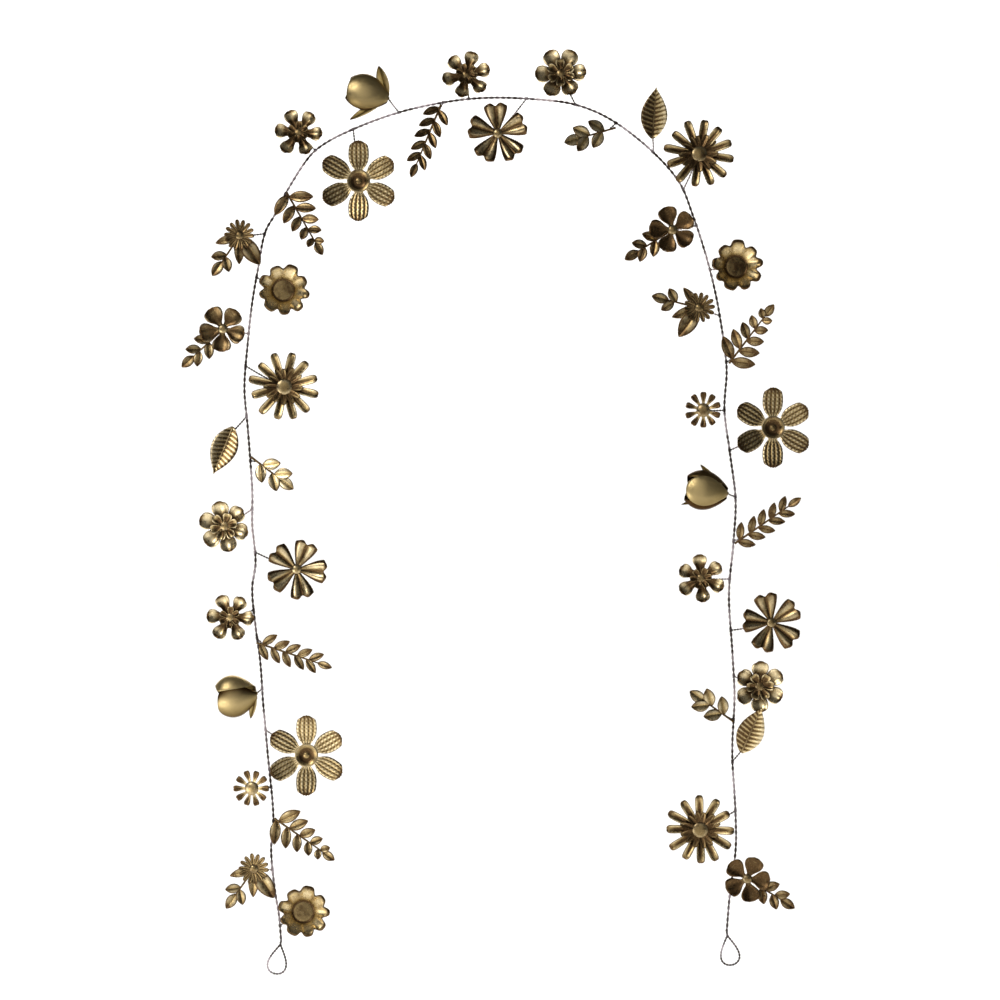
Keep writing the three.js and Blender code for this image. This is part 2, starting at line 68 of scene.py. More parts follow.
# The measures of the wires, the stems and the pieces' seats, in millimetres and degrees.
WIRE_DIAMETER = 2.4
STEM_DIAMETER = 1.5
GAP = 0.3
BACK_PLANE = -(WIRE_DIAMETER / 2 + GAP)
STEM_END_Y = BACK_PLANE + GAP + STEM_DIAMETER / 2
LAYER = 2.2
WIDEST_BUD = 20.0
BUD_FLATNESS = 0.52
BUD_AXIS_HEIGHT = WIDEST_BUD * BUD_FLATNESS + 1.0
FLOWER_NOD = 6.0
FROND_LIFT = 6.0
STEM_UNDER_FROND = 7.0
STEM_FOLLOW = 0.5
STEM_SAG = 0.04
STEM_INTO_BUD = 0.2
LOOP_WIDTH = 19.0
LOOP_LENGTH = 27.1
LOOP_NECK = 5.0
LOOP_TAPER = 1.4
LOOP_BULGE = 0.62
LOOP_TUCK = 1.5
LOOP_POINTS = 72
STEM_POINTS = 12
NECK_POINTS = 8
NECK_OVERLAP = 0.8
RIB_HEIGHT = 0.8

# The thicknesses of the stamped metal in mm, and the painted shade on the pieces after the lit
# ones.
SHEET_THICKNESS = 0.4
PETAL_THICKNESS = 0.6
LIT_PIECES = 15
PAINTED_SHADE_TONE = 0.16

# The depth in metres that counts as a full hollow, and how far a hollow spreads to its neighbours.
FULL_HOLLOW = 0.00006
OWN_HOLLOW = 0.4
NEAR_HOLLOW = 0.6

# The folds of sheet and of wire that stay sharp, in degrees.
FOLD_ANGLE = 48
CAP_ANGLE = 60

# Shares of a blade: its least section height, and its second row's part in the tip's outline.
LEAST_SECTION = 0.25
TIP_FOLLOWS = 0.45

# How far blades and leaves are bent by hand, in radians. A blade's are for each part of unevenness.
BLADE_TILT = 0.9
BLADE_ROLL = 1.6
LEAF_TURN = 0.04
LEAF_ROLL = 0.22

# The finishes: how far roughness varies, each noise's scale to the metre, and the grain's depth.
ROUGHNESS_DROP = 0.08
ROUGHNESS_RISE = 0.12
BLOTCH_SCALE = 150
ROUGH_SCALE = 420
GRAIN_SCALE = 900
HIGHLIGHT_SCALE = 38
GRAIN_DEPTH = 0.0002

WIRE_ROUTE: tuple[Pair, ...] = (
    (-197, -758), (-199, -735), (-202, -717), (-206, -677), (-204, -648), (-209, -591),
    (-213, -547), (-216, -505), (-220, -476), (-223, -441), (-220, -418), (-223, -384),
    (-223, -355), (-227, -297), (-230, -262), (-227, -220), (-223, -184), (-218, -155),
    (-211, -120), (-202, -104), (-193, -86), (-170, -51), (-156, -40), (-132, -28),
    (-91, -13), (-51, -4), (-15, 0), (30, -1), (68, -6), (99, -19), (138, -49), (162, -77),
    (173, -104), (186, -144), (195, -181), (203, -232), (204, -247), (202, -281), (207, -320),
    (212, -362), (210, -401), (206, -446), (209, -497), (211, -538), (209, -589), (212, -645),
    (212, -677), (207, -715), (204, -750),
)


class Kind(Enum):
    """The kinds of piece along the garland."""

    BOWL_FLOWER = "bowl_flower"
    DAISY_CLUSTER = "daisy_cluster"
    WIDE_FROND = "wide_frond"
    SMALL_DAISY = "small_daisy"
    PLEATED_FLOWER = "pleated_flower"
    TULIP = "tulip"
    NARROW_FROND = "narrow_frond"
    CUPPED_FLOWER = "cupped_flower"
    NOTCHED_FLOWER = "notched_flower"
    DOUBLE_FLOWER = "double_flower"
    SMALL_FROND = "small_frond"
    RIBBED_LEAF = "ribbed_leaf"
    LARGE_DAISY = "large_daisy"
    FIVE_PETAL_CLUSTER = "five_petal_cluster"


class Slot(Enum):
    """The record's material slots."""

    BRASS = "antique_brass"
    SATIN = "satin_brass"
    WIRE = "dark_wire"


@dataclass(frozen=True)
class BudPetal:
    """One petal of a bud, in degrees and mm.

    It lies at `around` round the bud's axis, 0 at the front and 90 at its left, and reaches half
    its breadth each way. `lap` lifts one side over the next petal and sinks the other, and
    `raised` lifts the whole. `tone` over 0 darkens it, which on the petals behind is painted shade,
    and `shaded` paints shade on the sunk side, where it lies under the next petal. With a `lip`,
    its lifted side is a straight line at that share of the bud's half breadth, with a painted
    highlight along it.
    """

    around: float
    half: float
    lap: float
    raised: float
    tone: float = 0.0
    shaded: bool = True
    lip: float = 0.0


# One petal in front that lies over two others, which are painted darker as shade, the lower one
# most.
FRONT_PETAL_OVER = (
    BudPetal(2, 46, 0.3, 0.5, -0.2, False), BudPetal(112, 74, 0, -0.6, 0.8, False),
    BudPetal(-110, 74, 0, -0.6, 0.35, False),
)

# One broad petal that hides the others but for their edges, which are painted darker as shade.
BROAD_PETAL_OVER = (
    BudPetal(-4, 80, 0.2, 0.5, -0.1, False), BudPetal(120, 72, 0, -0.4, 0.7),
    BudPetal(-120, 72, 0, -0.4, 0.4),
)

# One petal closed over the others like a lid, with a painted highlight along its lip.
LID_PETAL_OVER = (
    BudPetal(-90, 68, 1.4, 0.4, -0.5, False, lip=0.34), BudPetal(38, 78, 0, -0.7),
    BudPetal(150, 70, 0, -0.8),
)


@dataclass(frozen=True)
class Bud:
    """One tulip in mm: its length, half its breadth, its sepals and its petals.

    Each sepal is given as its angle in degrees, its length and its width.
    """

    length: float
    girth: float
    sepals: tuple[Triple, ...]
    petals: tuple[BudPetal, ...]


@dataclass(frozen=True)
class Place:
    """Where one piece sits: its centre or root, its turn and its stem's foot, in mm and degrees."""

    kind: Kind
    centre: Pair
    turn: float
    foot: Pair
    tail: float = 0.0
    lift: float | None = None
    bud: Bud | None = None


PLACES: tuple[Place, ...] = (
    Place(Kind.BOWL_FLOWER, (-177, -732), 10, (-199, -744)),
    Place(Kind.DAISY_CLUSTER, (-221, -693), -56, (-204, -694)),
    Place(Kind.WIDE_FROND, (-203, -648), -34, (-204, -650)),
    Place(Kind.SMALL_DAISY, (-223, -621), 0, (-207, -619)),
    Place(Kind.PLEATED_FLOWER, (-174, -591), 90, (-211, -568)),
    Place(
        Kind.TULIP, (-218, -535), -171, (-214, -531),
        bud=Bud(36, 19.6, ((70, 23, 6),), LID_PETAL_OVER),
    ),
    Place(Kind.NARROW_FROND, (-219, -490), -18, (-219, -487)),
    Place(Kind.CUPPED_FLOWER, (-242, -467), 56, (-221, -461)),
    Place(Kind.NOTCHED_FLOWER, (-183, -424), 67, (-220, -408)),
    Place(Kind.DOUBLE_FLOWER, (-247, -385), 43, (-223, -369)),
    Place(Kind.SMALL_FROND, (-224, -323), -37, (-224, -326)),
    Place(Kind.RIBBED_LEAF, (-240, -296), -112, (-228, -286)),
    Place(Kind.LARGE_DAISY, (-194, -260), 16, (-228, -242)),
    Place(Kind.FIVE_PETAL_CLUSTER, (-249, -208), 50, (-225, -212), tail=-137),
    Place(Kind.BOWL_FLOWER, (-195, -173), 0, (-220, -161)),
    Place(Kind.DAISY_CLUSTER, (-234, -124), -55, (-212, -123)),
    Place(Kind.WIDE_FROND, (-192, -85), -60, (-193, -86)),
    Place(Kind.CUPPED_FLOWER, (-181, -32), 54, (-166, -48)),
    Place(Kind.PLEATED_FLOWER, (-127, -75), 90, (-132, -28)),
    Place(
        Kind.TULIP, (-100, -2), 165, (-91, -13),
        bud=Bud(38, 16.5, ((-60, 30, 10), (45, 39, 7)), BROAD_PETAL_OVER),
    ),
    Place(Kind.NARROW_FROND, (-53, -6), -112, (-52, -5)),
    Place(Kind.CUPPED_FLOWER, (-30, 20), 15, (-27, 0)),
    Place(Kind.NOTCHED_FLOWER, (-2, -32), 22, (25, -2)),
    Place(Kind.DOUBLE_FLOWER, (55, 21), 1, (68, -5)),
    Place(Kind.SMALL_FROND, (104, -27), -163, (103, -24)),
    Place(Kind.RIBBED_LEAF, (137, -37), 86, (138, -48)),
    Place(Kind.LARGE_DAISY, (179, -51), 20, (164, -82)),
    Place(Kind.FIVE_PETAL_CLUSTER, (155, -119), 35, (178, -114), tail=-148),
    Place(Kind.BOWL_FLOWER, (212, -152), 20, (190, -155)),
    Place(Kind.DAISY_CLUSTER, (179, -189), -125, (197, -197)),
    Place(Kind.WIDE_FROND, (206, -239), 53, (204, -238)),
    Place(Kind.SMALL_DAISY, (183, -281), 18, (202, -281)),
    Place(Kind.PLEATED_FLOWER, (245, -297), 90, (209, -318)),
    Place(
        Kind.TULIP, (204, -356), 172, (211, -358),
        bud=Bud(38, 19, ((-40, 35, 6), (22, 42, 5)), FRONT_PETAL_OVER),
    ),
    Place(Kind.NARROW_FROND, (211, -401), 35, (211, -398)),
    Place(Kind.CUPPED_FLOWER, (181, -432), 35, (207, -432)),
    Place(Kind.NOTCHED_FLOWER, (244, -472), 32, (208, -478)),
    Place(Kind.DOUBLE_FLOWER, (233, -529), 30, (211, -521)),
    Place(Kind.SMALL_FROND, (210, -561), 145, (210, -559)),
    Place(Kind.RIBBED_LEAF, (217, -589), 67, (210, -599), lift=12),
    Place(Kind.LARGE_DAISY, (180, -658), 0, (213, -640)),
    Place(Kind.FIVE_PETAL_CLUSTER, (222, -702), 66, (208, -706), tail=-32),
)


# Working with meshes, as at the bench.


def moved_by(x: float = 0.0, y: float = 0.0, z: float = 0.0) -> Matrix:
    """A move in mm."""
    return Matrix.Translation((x * MM, y * MM, z * MM))


def turned_by(degrees: float, axis: str | Vector) -> Matrix:
    """A turn by some degrees about an axis."""
    return Matrix.Rotation(math.radians(degrees), 4, axis)


def deselect() -> None:
    """Deselects every object."""
    bpy.ops.object.select_all(action="DESELECT")


def pick(pieces: Iterable[Piece]) -> None:
    """Selects some objects alone and makes the first of them active.

    Args:
        pieces: the objects to select.
    """
    deselect()
    chosen = list(pieces)
    for piece in chosen:
        piece.select_set(True)
    bpy.context.view_layer.objects.active = chosen[0]


@contextmanager
def editing(piece: Piece) -> Iterator[None]:
    """Edit mode on one piece, with nothing selected in it.

    Args:
        piece: the object to edit.
    """
    pick([piece])
    bpy.ops.object.mode_set(mode="EDIT")
    bpy.ops.mesh.select_mode(type="VERT")
    bpy.ops.mesh.select_all(action="DESELECT")
    yield
    bpy.ops.object.mode_set(mode="OBJECT")


def grip(piece: Piece, wanted: Callable[[bmesh.types.BMVert], bool]) -> None:
    """Selects the points of the piece in edit mode that a test accepts, and no others.

    Args:
        piece: the object in edit mode.
        wanted: the test on one point.
    """
    mesh = bmesh.from_edit_mesh(piece.data)
    for vert in mesh.verts:
        vert.select = False
    mesh.select_flush(False)
    for vert in mesh.verts:
        vert.select = wanted(vert)
    mesh.select_flush_mode()
    mesh.select_flush(True)
    bmesh.update_edit_mesh(piece.data)


def shift(x: float = 0.0, y: float = 0.0, z: float = 0.0) -> None:
    """Moves what is selected in edit mode, by metres."""
    bpy.ops.transform.translate(value=(x, y, z))


def stretch(x: float, y: float, z: float, centre: Triple) -> None:
    """Scales what is selected in edit mode about a centre."""
    bpy.ops.transform.resize(value=(x, y, z), center_override=centre)


def grow(rings: tuple[tuple[float, ...], ...], extrude: Callable[..., object]) -> None:
    """Extrudes what is selected in edit mode from its ring to the next ones.

    Args:
        rings: the rings' radius and height in mm, the first being the selected one.
        extrude: the extrusion to use.
    """
    radius, height, *_ = rings[0]
    for outer, level, *_ in rings[1:]:
        extrude(TRANSFORM_OT_translate={"value": (0, 0, (level - height) * MM)})
        stretch(outer / radius, outer / radius, 1, (0, 0, level * MM))
        radius, height = outer, level


def face_outwards() -> None:
    """Selects everything in edit mode and turns its faces outwards."""
    bpy.ops.mesh.select_all(action="SELECT")
    bpy.ops.mesh.normals_make_consistent(inside=False)


def modify(piece: Piece, kind: str, **settings: object) -> None:
    """Adds one modifier to a piece and applies it.

    Args:
        piece: the object to change.
        kind: the modifier's type.
        settings: its values.
    """
    pick([piece])
    modifier = piece.modifiers.new(kind.lower(), kind)
    for key, value in settings.items():
        setattr(modifier, key, value)
    bpy.ops.object.modifier_apply(modifier=modifier.name)


def rounded(piece: Piece, thickness: float = 0.0) -> Piece:
    """Rounds a piece with an applied Subdivision Surface.

    Args:
        piece: the object to round.
        thickness: the wall in mm that an open sheet is given before.

    Returns:
        The same piece.
    """
    if thickness:
        modify(piece, "SOLIDIFY", thickness=thickness * MM, offset=0)
    modify(piece, "SUBSURF", levels=1, render_levels=1)
    return piece


def screwed(profile: Piece, turns: float, length: float, steps: int) -> None:
    """Sweeps a profile up +Z as a screw and closes its ends.

    Args:
        profile: the open outline or outlines to sweep.
        turns: how often they go round.
        length: how far they rise.
        steps: how many pieces the sweep has.
    """
    modify(
        profile, "SCREW", axis="Z", angle=FULL_TURN * turns, screw_offset=length, steps=steps,
        render_steps=steps, use_merge_vertices=False, use_normal_calculate=True,
    )
    with editing(profile):
        grip(profile, lambda vert: vert.is_boundary)
        bpy.ops.mesh.edge_face_add()
        face_outwards()


def circle(sides: int, radius: float, x: float = 0.0, z: float = 0.0, fill: str = "NGON") -> Piece:
    """A flat circle in mm that faces +Z, its place in its mesh.

    Args:
        sides: how many points it has.
        radius: its radius.
        x: its centre's place to the side.
        z: its height.
        fill: how it is filled.

    Returns:
        The circle.
    """
    deselect()
    bpy.ops.mesh.primitive_circle_add(
        vertices=sides, radius=radius * MM, fill_type=fill, location=(x * MM, 0, z * MM)
    )
    bpy.ops.object.transform_apply(location=True, rotation=True, scale=True)
    return bpy.context.object


def grid(along: int, across: int) -> Piece:
    """A flat grid from -1 to 1 along X and Y.

    Args:
        along: how many faces it has along X.
        across: how many it has along Y.

    Returns:
        The grid.
    """
    deselect()
    bpy.ops.mesh.primitive_grid_add(x_subdivisions=along, y_subdivisions=across, size=2)
    return bpy.context.object


def copied(piece: Piece, matrix: Matrix) -> Piece:
    """A copy of a piece with a mesh of its own, moved by a matrix.

    Args:
        piece: the piece to copy.
        matrix: where the copy goes.

    Returns:
        The copy, its place in its mesh.
    """
    twin = piece.copy()
    twin.data = piece.data.copy()
    bpy.context.collection.objects.link(twin)
    twin.data.transform(matrix)
    return twin


def joined(parts: list[Piece], name: str = "pattern") -> Piece:
    """Joins parts into one piece.

    Args:
        parts: the objects, of which the first keeps its place.
        name: the piece's name.

    Returns:
        The joined piece.
    """
    pick(parts)
    if len(parts) > 1:
        bpy.ops.object.join()
    piece = bpy.context.view_layer.objects.active
    piece.name = name
    return piece


def discard(pieces: Iterable[Piece]) -> None:
    """Removes objects that were only patterns for others."""
    for piece in list(pieces):
        bpy.data.objects.remove(piece, do_unlink=True)


def smooth(piece: Piece, degrees: float) -> None:
    """Smooths a piece but for its edges that are sharper than some degrees."""
    pick([piece])
    bpy.ops.object.shade_smooth_by_angle(angle=math.radians(degrees))


def points_of(piece: Piece) -> np.ndarray:
    """The points of a piece's mesh.

    Args:
        piece: the object.

    Returns:
        One point to a row.
    """
    points = np.empty(len(piece.data.vertices) * 3, np.float32)
    piece.data.vertices.foreach_get("co", points)
    return points.reshape(-1, 3)


def mark(piece: Piece, name: str, values: Iterable[float]) -> None:
    """Writes one number per point on a piece, for its material to read.

    Args:
        piece: the object to write on.
        name: the attribute's name.
        values: one value for each point.
    """
    attributes = piece.data.attributes
    attribute = attributes.get(name) or attributes.new(name, "FLOAT", "POINT")
    attribute.data.foreach_set("value", np.fromiter(values, np.float32))


def darken(piece: Piece, amount: float) -> None:
    """Adds the same amount to the tone of every point of a piece, for its material to read.

    Args:
        piece: the object to darken.
        amount: what is added.
    """
    tones = np.zeros(len(piece.data.vertices), np.float32)
    piece.data.attributes["tone"].data.foreach_get("value", tones)
    mark(piece, "tone", tones + amount)


def mark_hollows(piece: Piece) -> None:
    """Marks how far each point lies below or above its neighbours, as a finish would gather.

    Args:
        piece: the finished mesh.
    """
    mesh = piece.data
    count = len(mesh.vertices)
    points = points_of(piece)
    normals = np.array([vert.normal[:] for vert in mesh.vertices], np.float32)
    ends = np.empty(len(mesh.edges) * 2, np.int32)
    mesh.edges.foreach_get("vertices", ends)
    first, second = ends.reshape(-1, 2).T

    def gathered(values: np.ndarray) -> np.ndarray:
        """The sum of the neighbours' values for each point."""
        total = np.zeros((count, *values.shape[1:]))
        np.add.at(total, first, values[second])
        np.add.at(total, second, values[first])
        return total

    links = np.maximum(gathered(np.ones(count)), 1)
    depth = np.einsum("ij,ij->i", gathered(points) / links[:, None] - points, normals)
    for _ in range(2):
        depth = OWN_HOLLOW * depth + NEAR_HOLLOW * gathered(depth) / links
    mark(piece, "hollow", np.clip(0.5 + 0.5 * depth / FULL_HOLLOW, 0, 1))


def finished(parts: list[Piece]) -> Piece:
    """Joins the parts of one pattern, smooths it and marks its hollows.

    Args:
        parts: the parts to join.

    Returns:
        The pattern.
    """
    piece = joined(parts)
    smooth(piece, FOLD_ANGLE)
    mark_hollows(piece)
    return piece


@dataclass(frozen=True)
class Sheet:
    """One stamped blade of sheet along +X, its face to +Z, in millimetres.

    The rows run across it, each given as its distance along, half its width and its height. The
    section runs from edge to edge, each point given as its share of the half width and its height
    at full width. `tip` moves the last row of points on or back, column by column. `tones` has one
    value per row, which darkens the finish over 0 and brightens it under 0. `rim` is how many
    points in from the outline are dark. `emboss` raises and sinks every second point, and the
    checker amount darkens and brightens them in turn, a painted shade and highlight on the bumps.
    `slant` draws the sides of the middle rows ahead, in mm, and `sided` darkens the left side and
    brightens the right.
    """

    rows: tuple[Triple, ...]
    section: tuple[Pair, ...]
    tones: tuple[float, ...]
    tip: tuple[float, ...] = ()
    rim: int = 1
    emboss: float = 0.0
    check_shade: float = 0.0
    slant: float = 0.0
    sided: float = 0.0

    def build(self) -> Piece:
        """Shapes the blade from a flat grid.

        Returns:
            The blade, with its thickness and rounding applied.
        """
        across = len(self.section) - 1
        along = len(self.rows) - 1
        piece = grid(along, across)
        row_of = [round((v.co.x + 1) / 2 * along) for v in piece.data.vertices]
        column_of = [round((v.co.y + 1) / 2 * across) for v in piece.data.vertices]
        widest = max(half for _, half, _ in self.rows)

        def draw(i: int, j: int, ahead: float) -> None:
            """Moves the point of one row and column ahead, in mm."""
            grip(piece, lambda vert: row_of[vert.index] == i and column_of[vert.index] == j)
            shift(x=ahead * MM)

        with editing(piece):
            for j, (share, height) in enumerate(self.section):
                grip(piece, lambda vert: column_of[vert.index] == j)
                shift(y=share - (2 * j / across - 1), z=height * MM)
            for i, (station, half, height) in enumerate(self.rows):
                grip(piece, lambda vert: row_of[vert.index] == i)
                start = 2 * i / along - 1
                stretch(1, half * MM, max(half / widest, LEAST_SECTION), (start, 0, 0))
                shift(x=station * MM - start, z=height * MM)
            for j, push in enumerate(self.tip):
                draw(along, j, push)
                draw(along - 1, j, push * TIP_FOLLOWS)
            for i in range(1, along) if self.slant else ():
                fade = math.sin(math.pi * i / along) ** 0.5
                for j, (share, _) in enumerate(self.section):
                    draw(i, j, self.slant * abs(share) * fade)
            for odd in (0, 1) if self.emboss else ():
                grip(piece, lambda vert: (
                    (row_of[vert.index] + column_of[vert.index]) % 2 == odd
                    and 2 < row_of[vert.index] < along and 0 < column_of[vert.index] < across
                ))
                shift(z=self.emboss * (1 - 2 * odd) * MM)
        mark(piece, "edge", [
            float(row == 0 or min(along - row, column, across - column) < self.rim)
            for row, column in zip(row_of, column_of)
        ])
        # The tone holds each row's value, the check's painted shade and highlight on the embossed
        # points, and the sides' tone.
        mark(piece, "tone", [
            self.tones[row] + self.check_shade * (1 - 2 * ((row + column) % 2)) * (0 < column < across)
            + self.sided * self.section[column][0]
            for row, column in zip(row_of, column_of)
        ])
        return rounded(piece, SHEET_THICKNESS)


def even(half: tuple[Pair, ...]) -> tuple[Pair, ...]:
    """A section with two like sides, from its left half with the middle point."""
    return (*half, *((-share, height) for share, height in reversed(half[:-1])))


def dished(depth: float, rim: float) -> tuple[Pair, ...]:
    """A spoon's section, in mm: `depth` deep, its rolled rim's edge at the height `rim`."""
    return even((
        (-1.0, rim), (-0.88, depth), (-0.62, 0.42 * depth), (-0.3, 0.08 * depth), (0, 0),
    ))


@dataclass(frozen=True)
class Turned:
    """A closed turned form about +Z: rings of (radius, height) in mm, from the back to the face.

    A `tone` over 0 darkens its finish.
    """

    rings: tuple[Pair, ...]
    sides: int = 24
    tone: float = 0.0

    def build(self) -> Piece:
        """Extrudes a disc ring by ring.

        Returns:
            The turned form.
        """
        radius, height = self.rings[0]
        piece = circle(self.sides, radius, z=height)
        with editing(piece):
            bpy.ops.mesh.select_all(action="SELECT")
            grow(self.rings, bpy.ops.mesh.extrude_region_move)
            face_outwards()
        mark(piece, "tone", [self.tone] * len(piece.data.vertices))
        return rounded(piece)


# The flowers.


@dataclass(frozen=True)
class Whorl:
    """A ring of equal blades round +Z, each a little bent and shortened as by hand.

    `turn` is the first one's angle in degrees, `uneven` the share by which lengths and tilts
    differ, and `seed` chooses the differences.
    """

    blade: Sheet
    count: int
    uneven: float
    seed: int
    turn: float = 0.0

    def build(self) -> list[Piece]:
        """Builds the blade once and copies it.

        Returns:
            The copies.
        """
        blade = self.blade.build()
        chance = random.Random(self.seed)
        copies = []
        for i in range(self.count):
            tilt = Matrix.Rotation(chance.uniform(-1, 1) * self.uneven * BLADE_TILT, 4, "Y")
            roll = Matrix.Rotation(chance.uniform(-1, 1) * self.uneven * BLADE_ROLL, 4, "X")
            size = Matrix.Diagonal((1 - self.uneven * chance.uniform(0, 1), 1, 1, 1))
            turn = turned_by(self.turn + 360 * i / self.count, "Z")
            copies.append(copied(blade, turn @ tilt @ roll @ size))
        discard([blade])
        return copies


@dataclass(frozen=True)
class Bloom:
    """A flower of one or two whorls of petals round a turned middle, in mm."""

    whorls: tuple[Whorl, ...]
    middle: Turned

    def build(self) -> Piece:
        """Builds the flower's pattern."""
        petals = [petal for whorl in self.whorls for petal in whorl.build()]
        return finished([*petals, self.middle.build()])


# Six long fluted petals, cross-hatched, on bright waists round a raised hollow cup.
PLEATED_FLOWER = Bloom(
    (Whorl(Sheet(
        rows=(
            (6.3, 3.2, 2.6), (9.0, 3.4, 2.2), (11.4, 4.6, 2.1), (13.4, 6.2, 2.2), (15.2, 7.4, 2.4),
            (17.0, 8.2, 2.7), (18.8, 8.8, 3.0), (20.6, 9.1, 3.3), (22.4, 9.3, 3.6),
            (24.2, 9.4, 3.9), (26.0, 9.3, 4.2), (27.8, 9.2, 4.6), (29.6, 9.0, 5.0),
            (31.4, 8.6, 5.4), (33.2, 7.9, 5.9), (35.0, 6.9, 6.3), (36.6, 5.5, 6.5),
        ),
        section=even((
            (-1.0, -0.9), (-0.84, 0.9), (-0.64, -0.8), (-0.42, 0.9), (-0.21, -0.8), (0, 0.9),
        )),
        tones=(
            -0.9, -0.8, -0.5, 0.1, 0.2, 0.2, 0.1, 0.1, 0.1, 0.1, 0.1, 0.1, 0.2, 0.3, 0.5, 0.9, 1.0,
        ),
        tip=(-3.0, -1.0, -1.1, 0.5, -0.6, 1.0, -0.6, 0.5, -1.1, -1.0, -3.0),
        # The check paints shade and highlight on the embossed cross-hatching.
        emboss=0.3, check_shade=0.55,
    ), count=6, uneven=0.03, seed=3),),
    Turned(rings=(
        (6.6, 0.5), (8.4, 1.2), (9.0, 3.4), (10.4, 5.2), (10.8, 6.0), (10.0, 6.4), (8.2, 5.7),
        (6.4, 4.6), (4.4, 4.0), (2.8, 4.0), (1.7, 4.6), (0.5, 4.8),
    ), tone=0.35),
)

# Six spoons with curled tips and a small inner ring.
CUPPED_FLOWER = Bloom(
    (Whorl(Sheet(
        rows=(
            (2.6, 2.4, 2.6), (5.5, 3.3, 2.3), (8.6, 3.7, 2.3), (11.0, 4.0, 2.4), (12.8, 5.1, 2.6),
            (14.8, 6.2, 2.9), (17.2, 6.7, 3.3), (19.6, 6.1, 4.5), (21.4, 4.8, 6.0),
            (22.4, 3.2, 5.4),
        ),
        section=dished(3.2, 1.4), tones=(0.7, 0.6, 0.5, 0.45, 0.1, -0.5, -0.9, -0.6, 0.5, 1.0),
        tip=(-1.8, -0.9, 0, 0, 0, 0, 0, -0.9, -1.8), rim=3,
    ), count=6, uneven=0.05, seed=5), Whorl(Sheet(
        rows=((1.4, 1.2, 5.2), (4.5, 2.2, 5.2), (7.2, 3.0, 6.0), (9.2, 2.6, 7.2), (10.0, 1.6, 7.8)),
        section=dished(1.3, 0.9), tones=(0.8, 0.6, 0.45, 0.4, 0.1),
    ), count=6, uneven=0.06, seed=6, turn=30)),
    Turned(
        rings=((3.0, 0.4), (4.6, 1.2), (5.0, 3.4), (4.4, 5.2), (2.6, 5.9), (0.6, 6.2)), tone=0.5,
    ),
)

# Six round spoons with rolled rims, and a second ring turned between them.
DOUBLE_FLOWER = Bloom(
    (Whorl(Sheet(
        rows=(
            (3.2, 2.4, 2.8), (6.5, 3.4, 2.5), (9.0, 4.6, 2.5), (11.2, 6.1, 2.7), (13.4, 7.3, 2.9),
            (15.8, 7.9, 3.3), (18.4, 7.8, 3.9), (20.8, 6.8, 5.0), (22.7, 5.1, 6.3),
            (23.6, 3.4, 5.6),
        ),
        section=dished(3.5, 1.6), tones=(0.7, 0.6, 0.45, 0.1, -0.3, -0.8, -1.0, -0.6, 0.4, 1.0),
        tip=(-1.9, -1.0, 0, 0, 0, 0, 0, -1.0, -1.9), rim=3,
    ), count=6, uneven=0.04, seed=7), Whorl(Sheet(
        rows=(
            (2.0, 1.4, 5.4), (5.0, 2.4, 5.3), (7.6, 4.0, 5.8), (10.2, 4.5, 6.8), (12.2, 3.4, 7.9),
            (13.0, 2.0, 7.3),
        ),
        section=dished(2.0, 1.2), tones=(0.8, 0.6, 0.3, -0.1, 0.3, 0.7),
    ), count=6, uneven=0.05, seed=8, turn=30)),
    Turned(
        rings=((3.4, 0.4), (5.4, 1.2), (5.8, 3.6), (4.8, 5.4), (2.8, 6.2), (0.6, 6.5)), tone=0.5,
    ),
)

# Five heart-shaped wedges, each with a notch and a deep crease, round a small boss.
NOTCHED_FLOWER = Bloom(
    (Whorl(Sheet(
        rows=(
            (2.6, 2.2, 2.6), (6.5, 3.9, 2.1), (11, 6.2, 2.2), (16, 8.6, 2.8), (20.6, 10.3, 3.7),
            (24.4, 11.0, 4.9), (26.6, 10.0, 5.4), (27.6, 8.8, 4.0),
        ),
        section=even(((-1.0, -0.8), (-0.84, 1.2), (-0.52, 2.6), (-0.2, 1.0), (0, -0.9))),
        tones=(0.65, 0.55, 0.35, 0.2, 0.2, 0.4, 0.8, 1.0),
        tip=(-3.4, -0.8, 0.8, -1.2, -4.2, -1.2, 0.8, -0.8, -3.4), rim=2,
    ), count=5, uneven=0.05, seed=12),),
    Turned(
        rings=((2.4, 0.3), (4.4, 0.9), (4.8, 2.6), (3.8, 3.9), (2.0, 4.5), (0.5, 4.7)), tone=0.35,
    ),
)

# Five round spoons on narrow waists round a button.
FIVE_PETAL_FLOWER = Bloom(
    (Whorl(Sheet(
        rows=(
            (2.4, 2.0, 2.6), (5.4, 2.3, 2.3), (8.0, 4.8, 2.3), (11.2, 7.7, 2.6), (14.8, 9.0, 3.2),
            (18.4, 8.4, 4.1), (20.6, 6.3, 4.8), (21.5, 4.0, 4.2),
        ),
        section=dished(2.5, 1.3), tones=(0.6, 0.5, 0.3, 0.1, -0.05, 0.05, 0.5, 1.0),
        tip=(-1.8, -0.9, 0, 0, 0, 0, 0, -0.9, -1.8), rim=3,
    ), count=5, uneven=0.04, seed=14),),
    Turned(
        rings=((2.6, 0.4), (4.4, 1.0), (4.8, 2.8), (4.0, 4.2), (2.2, 4.9), (0.5, 5.1)), tone=0.4,
    ),
)

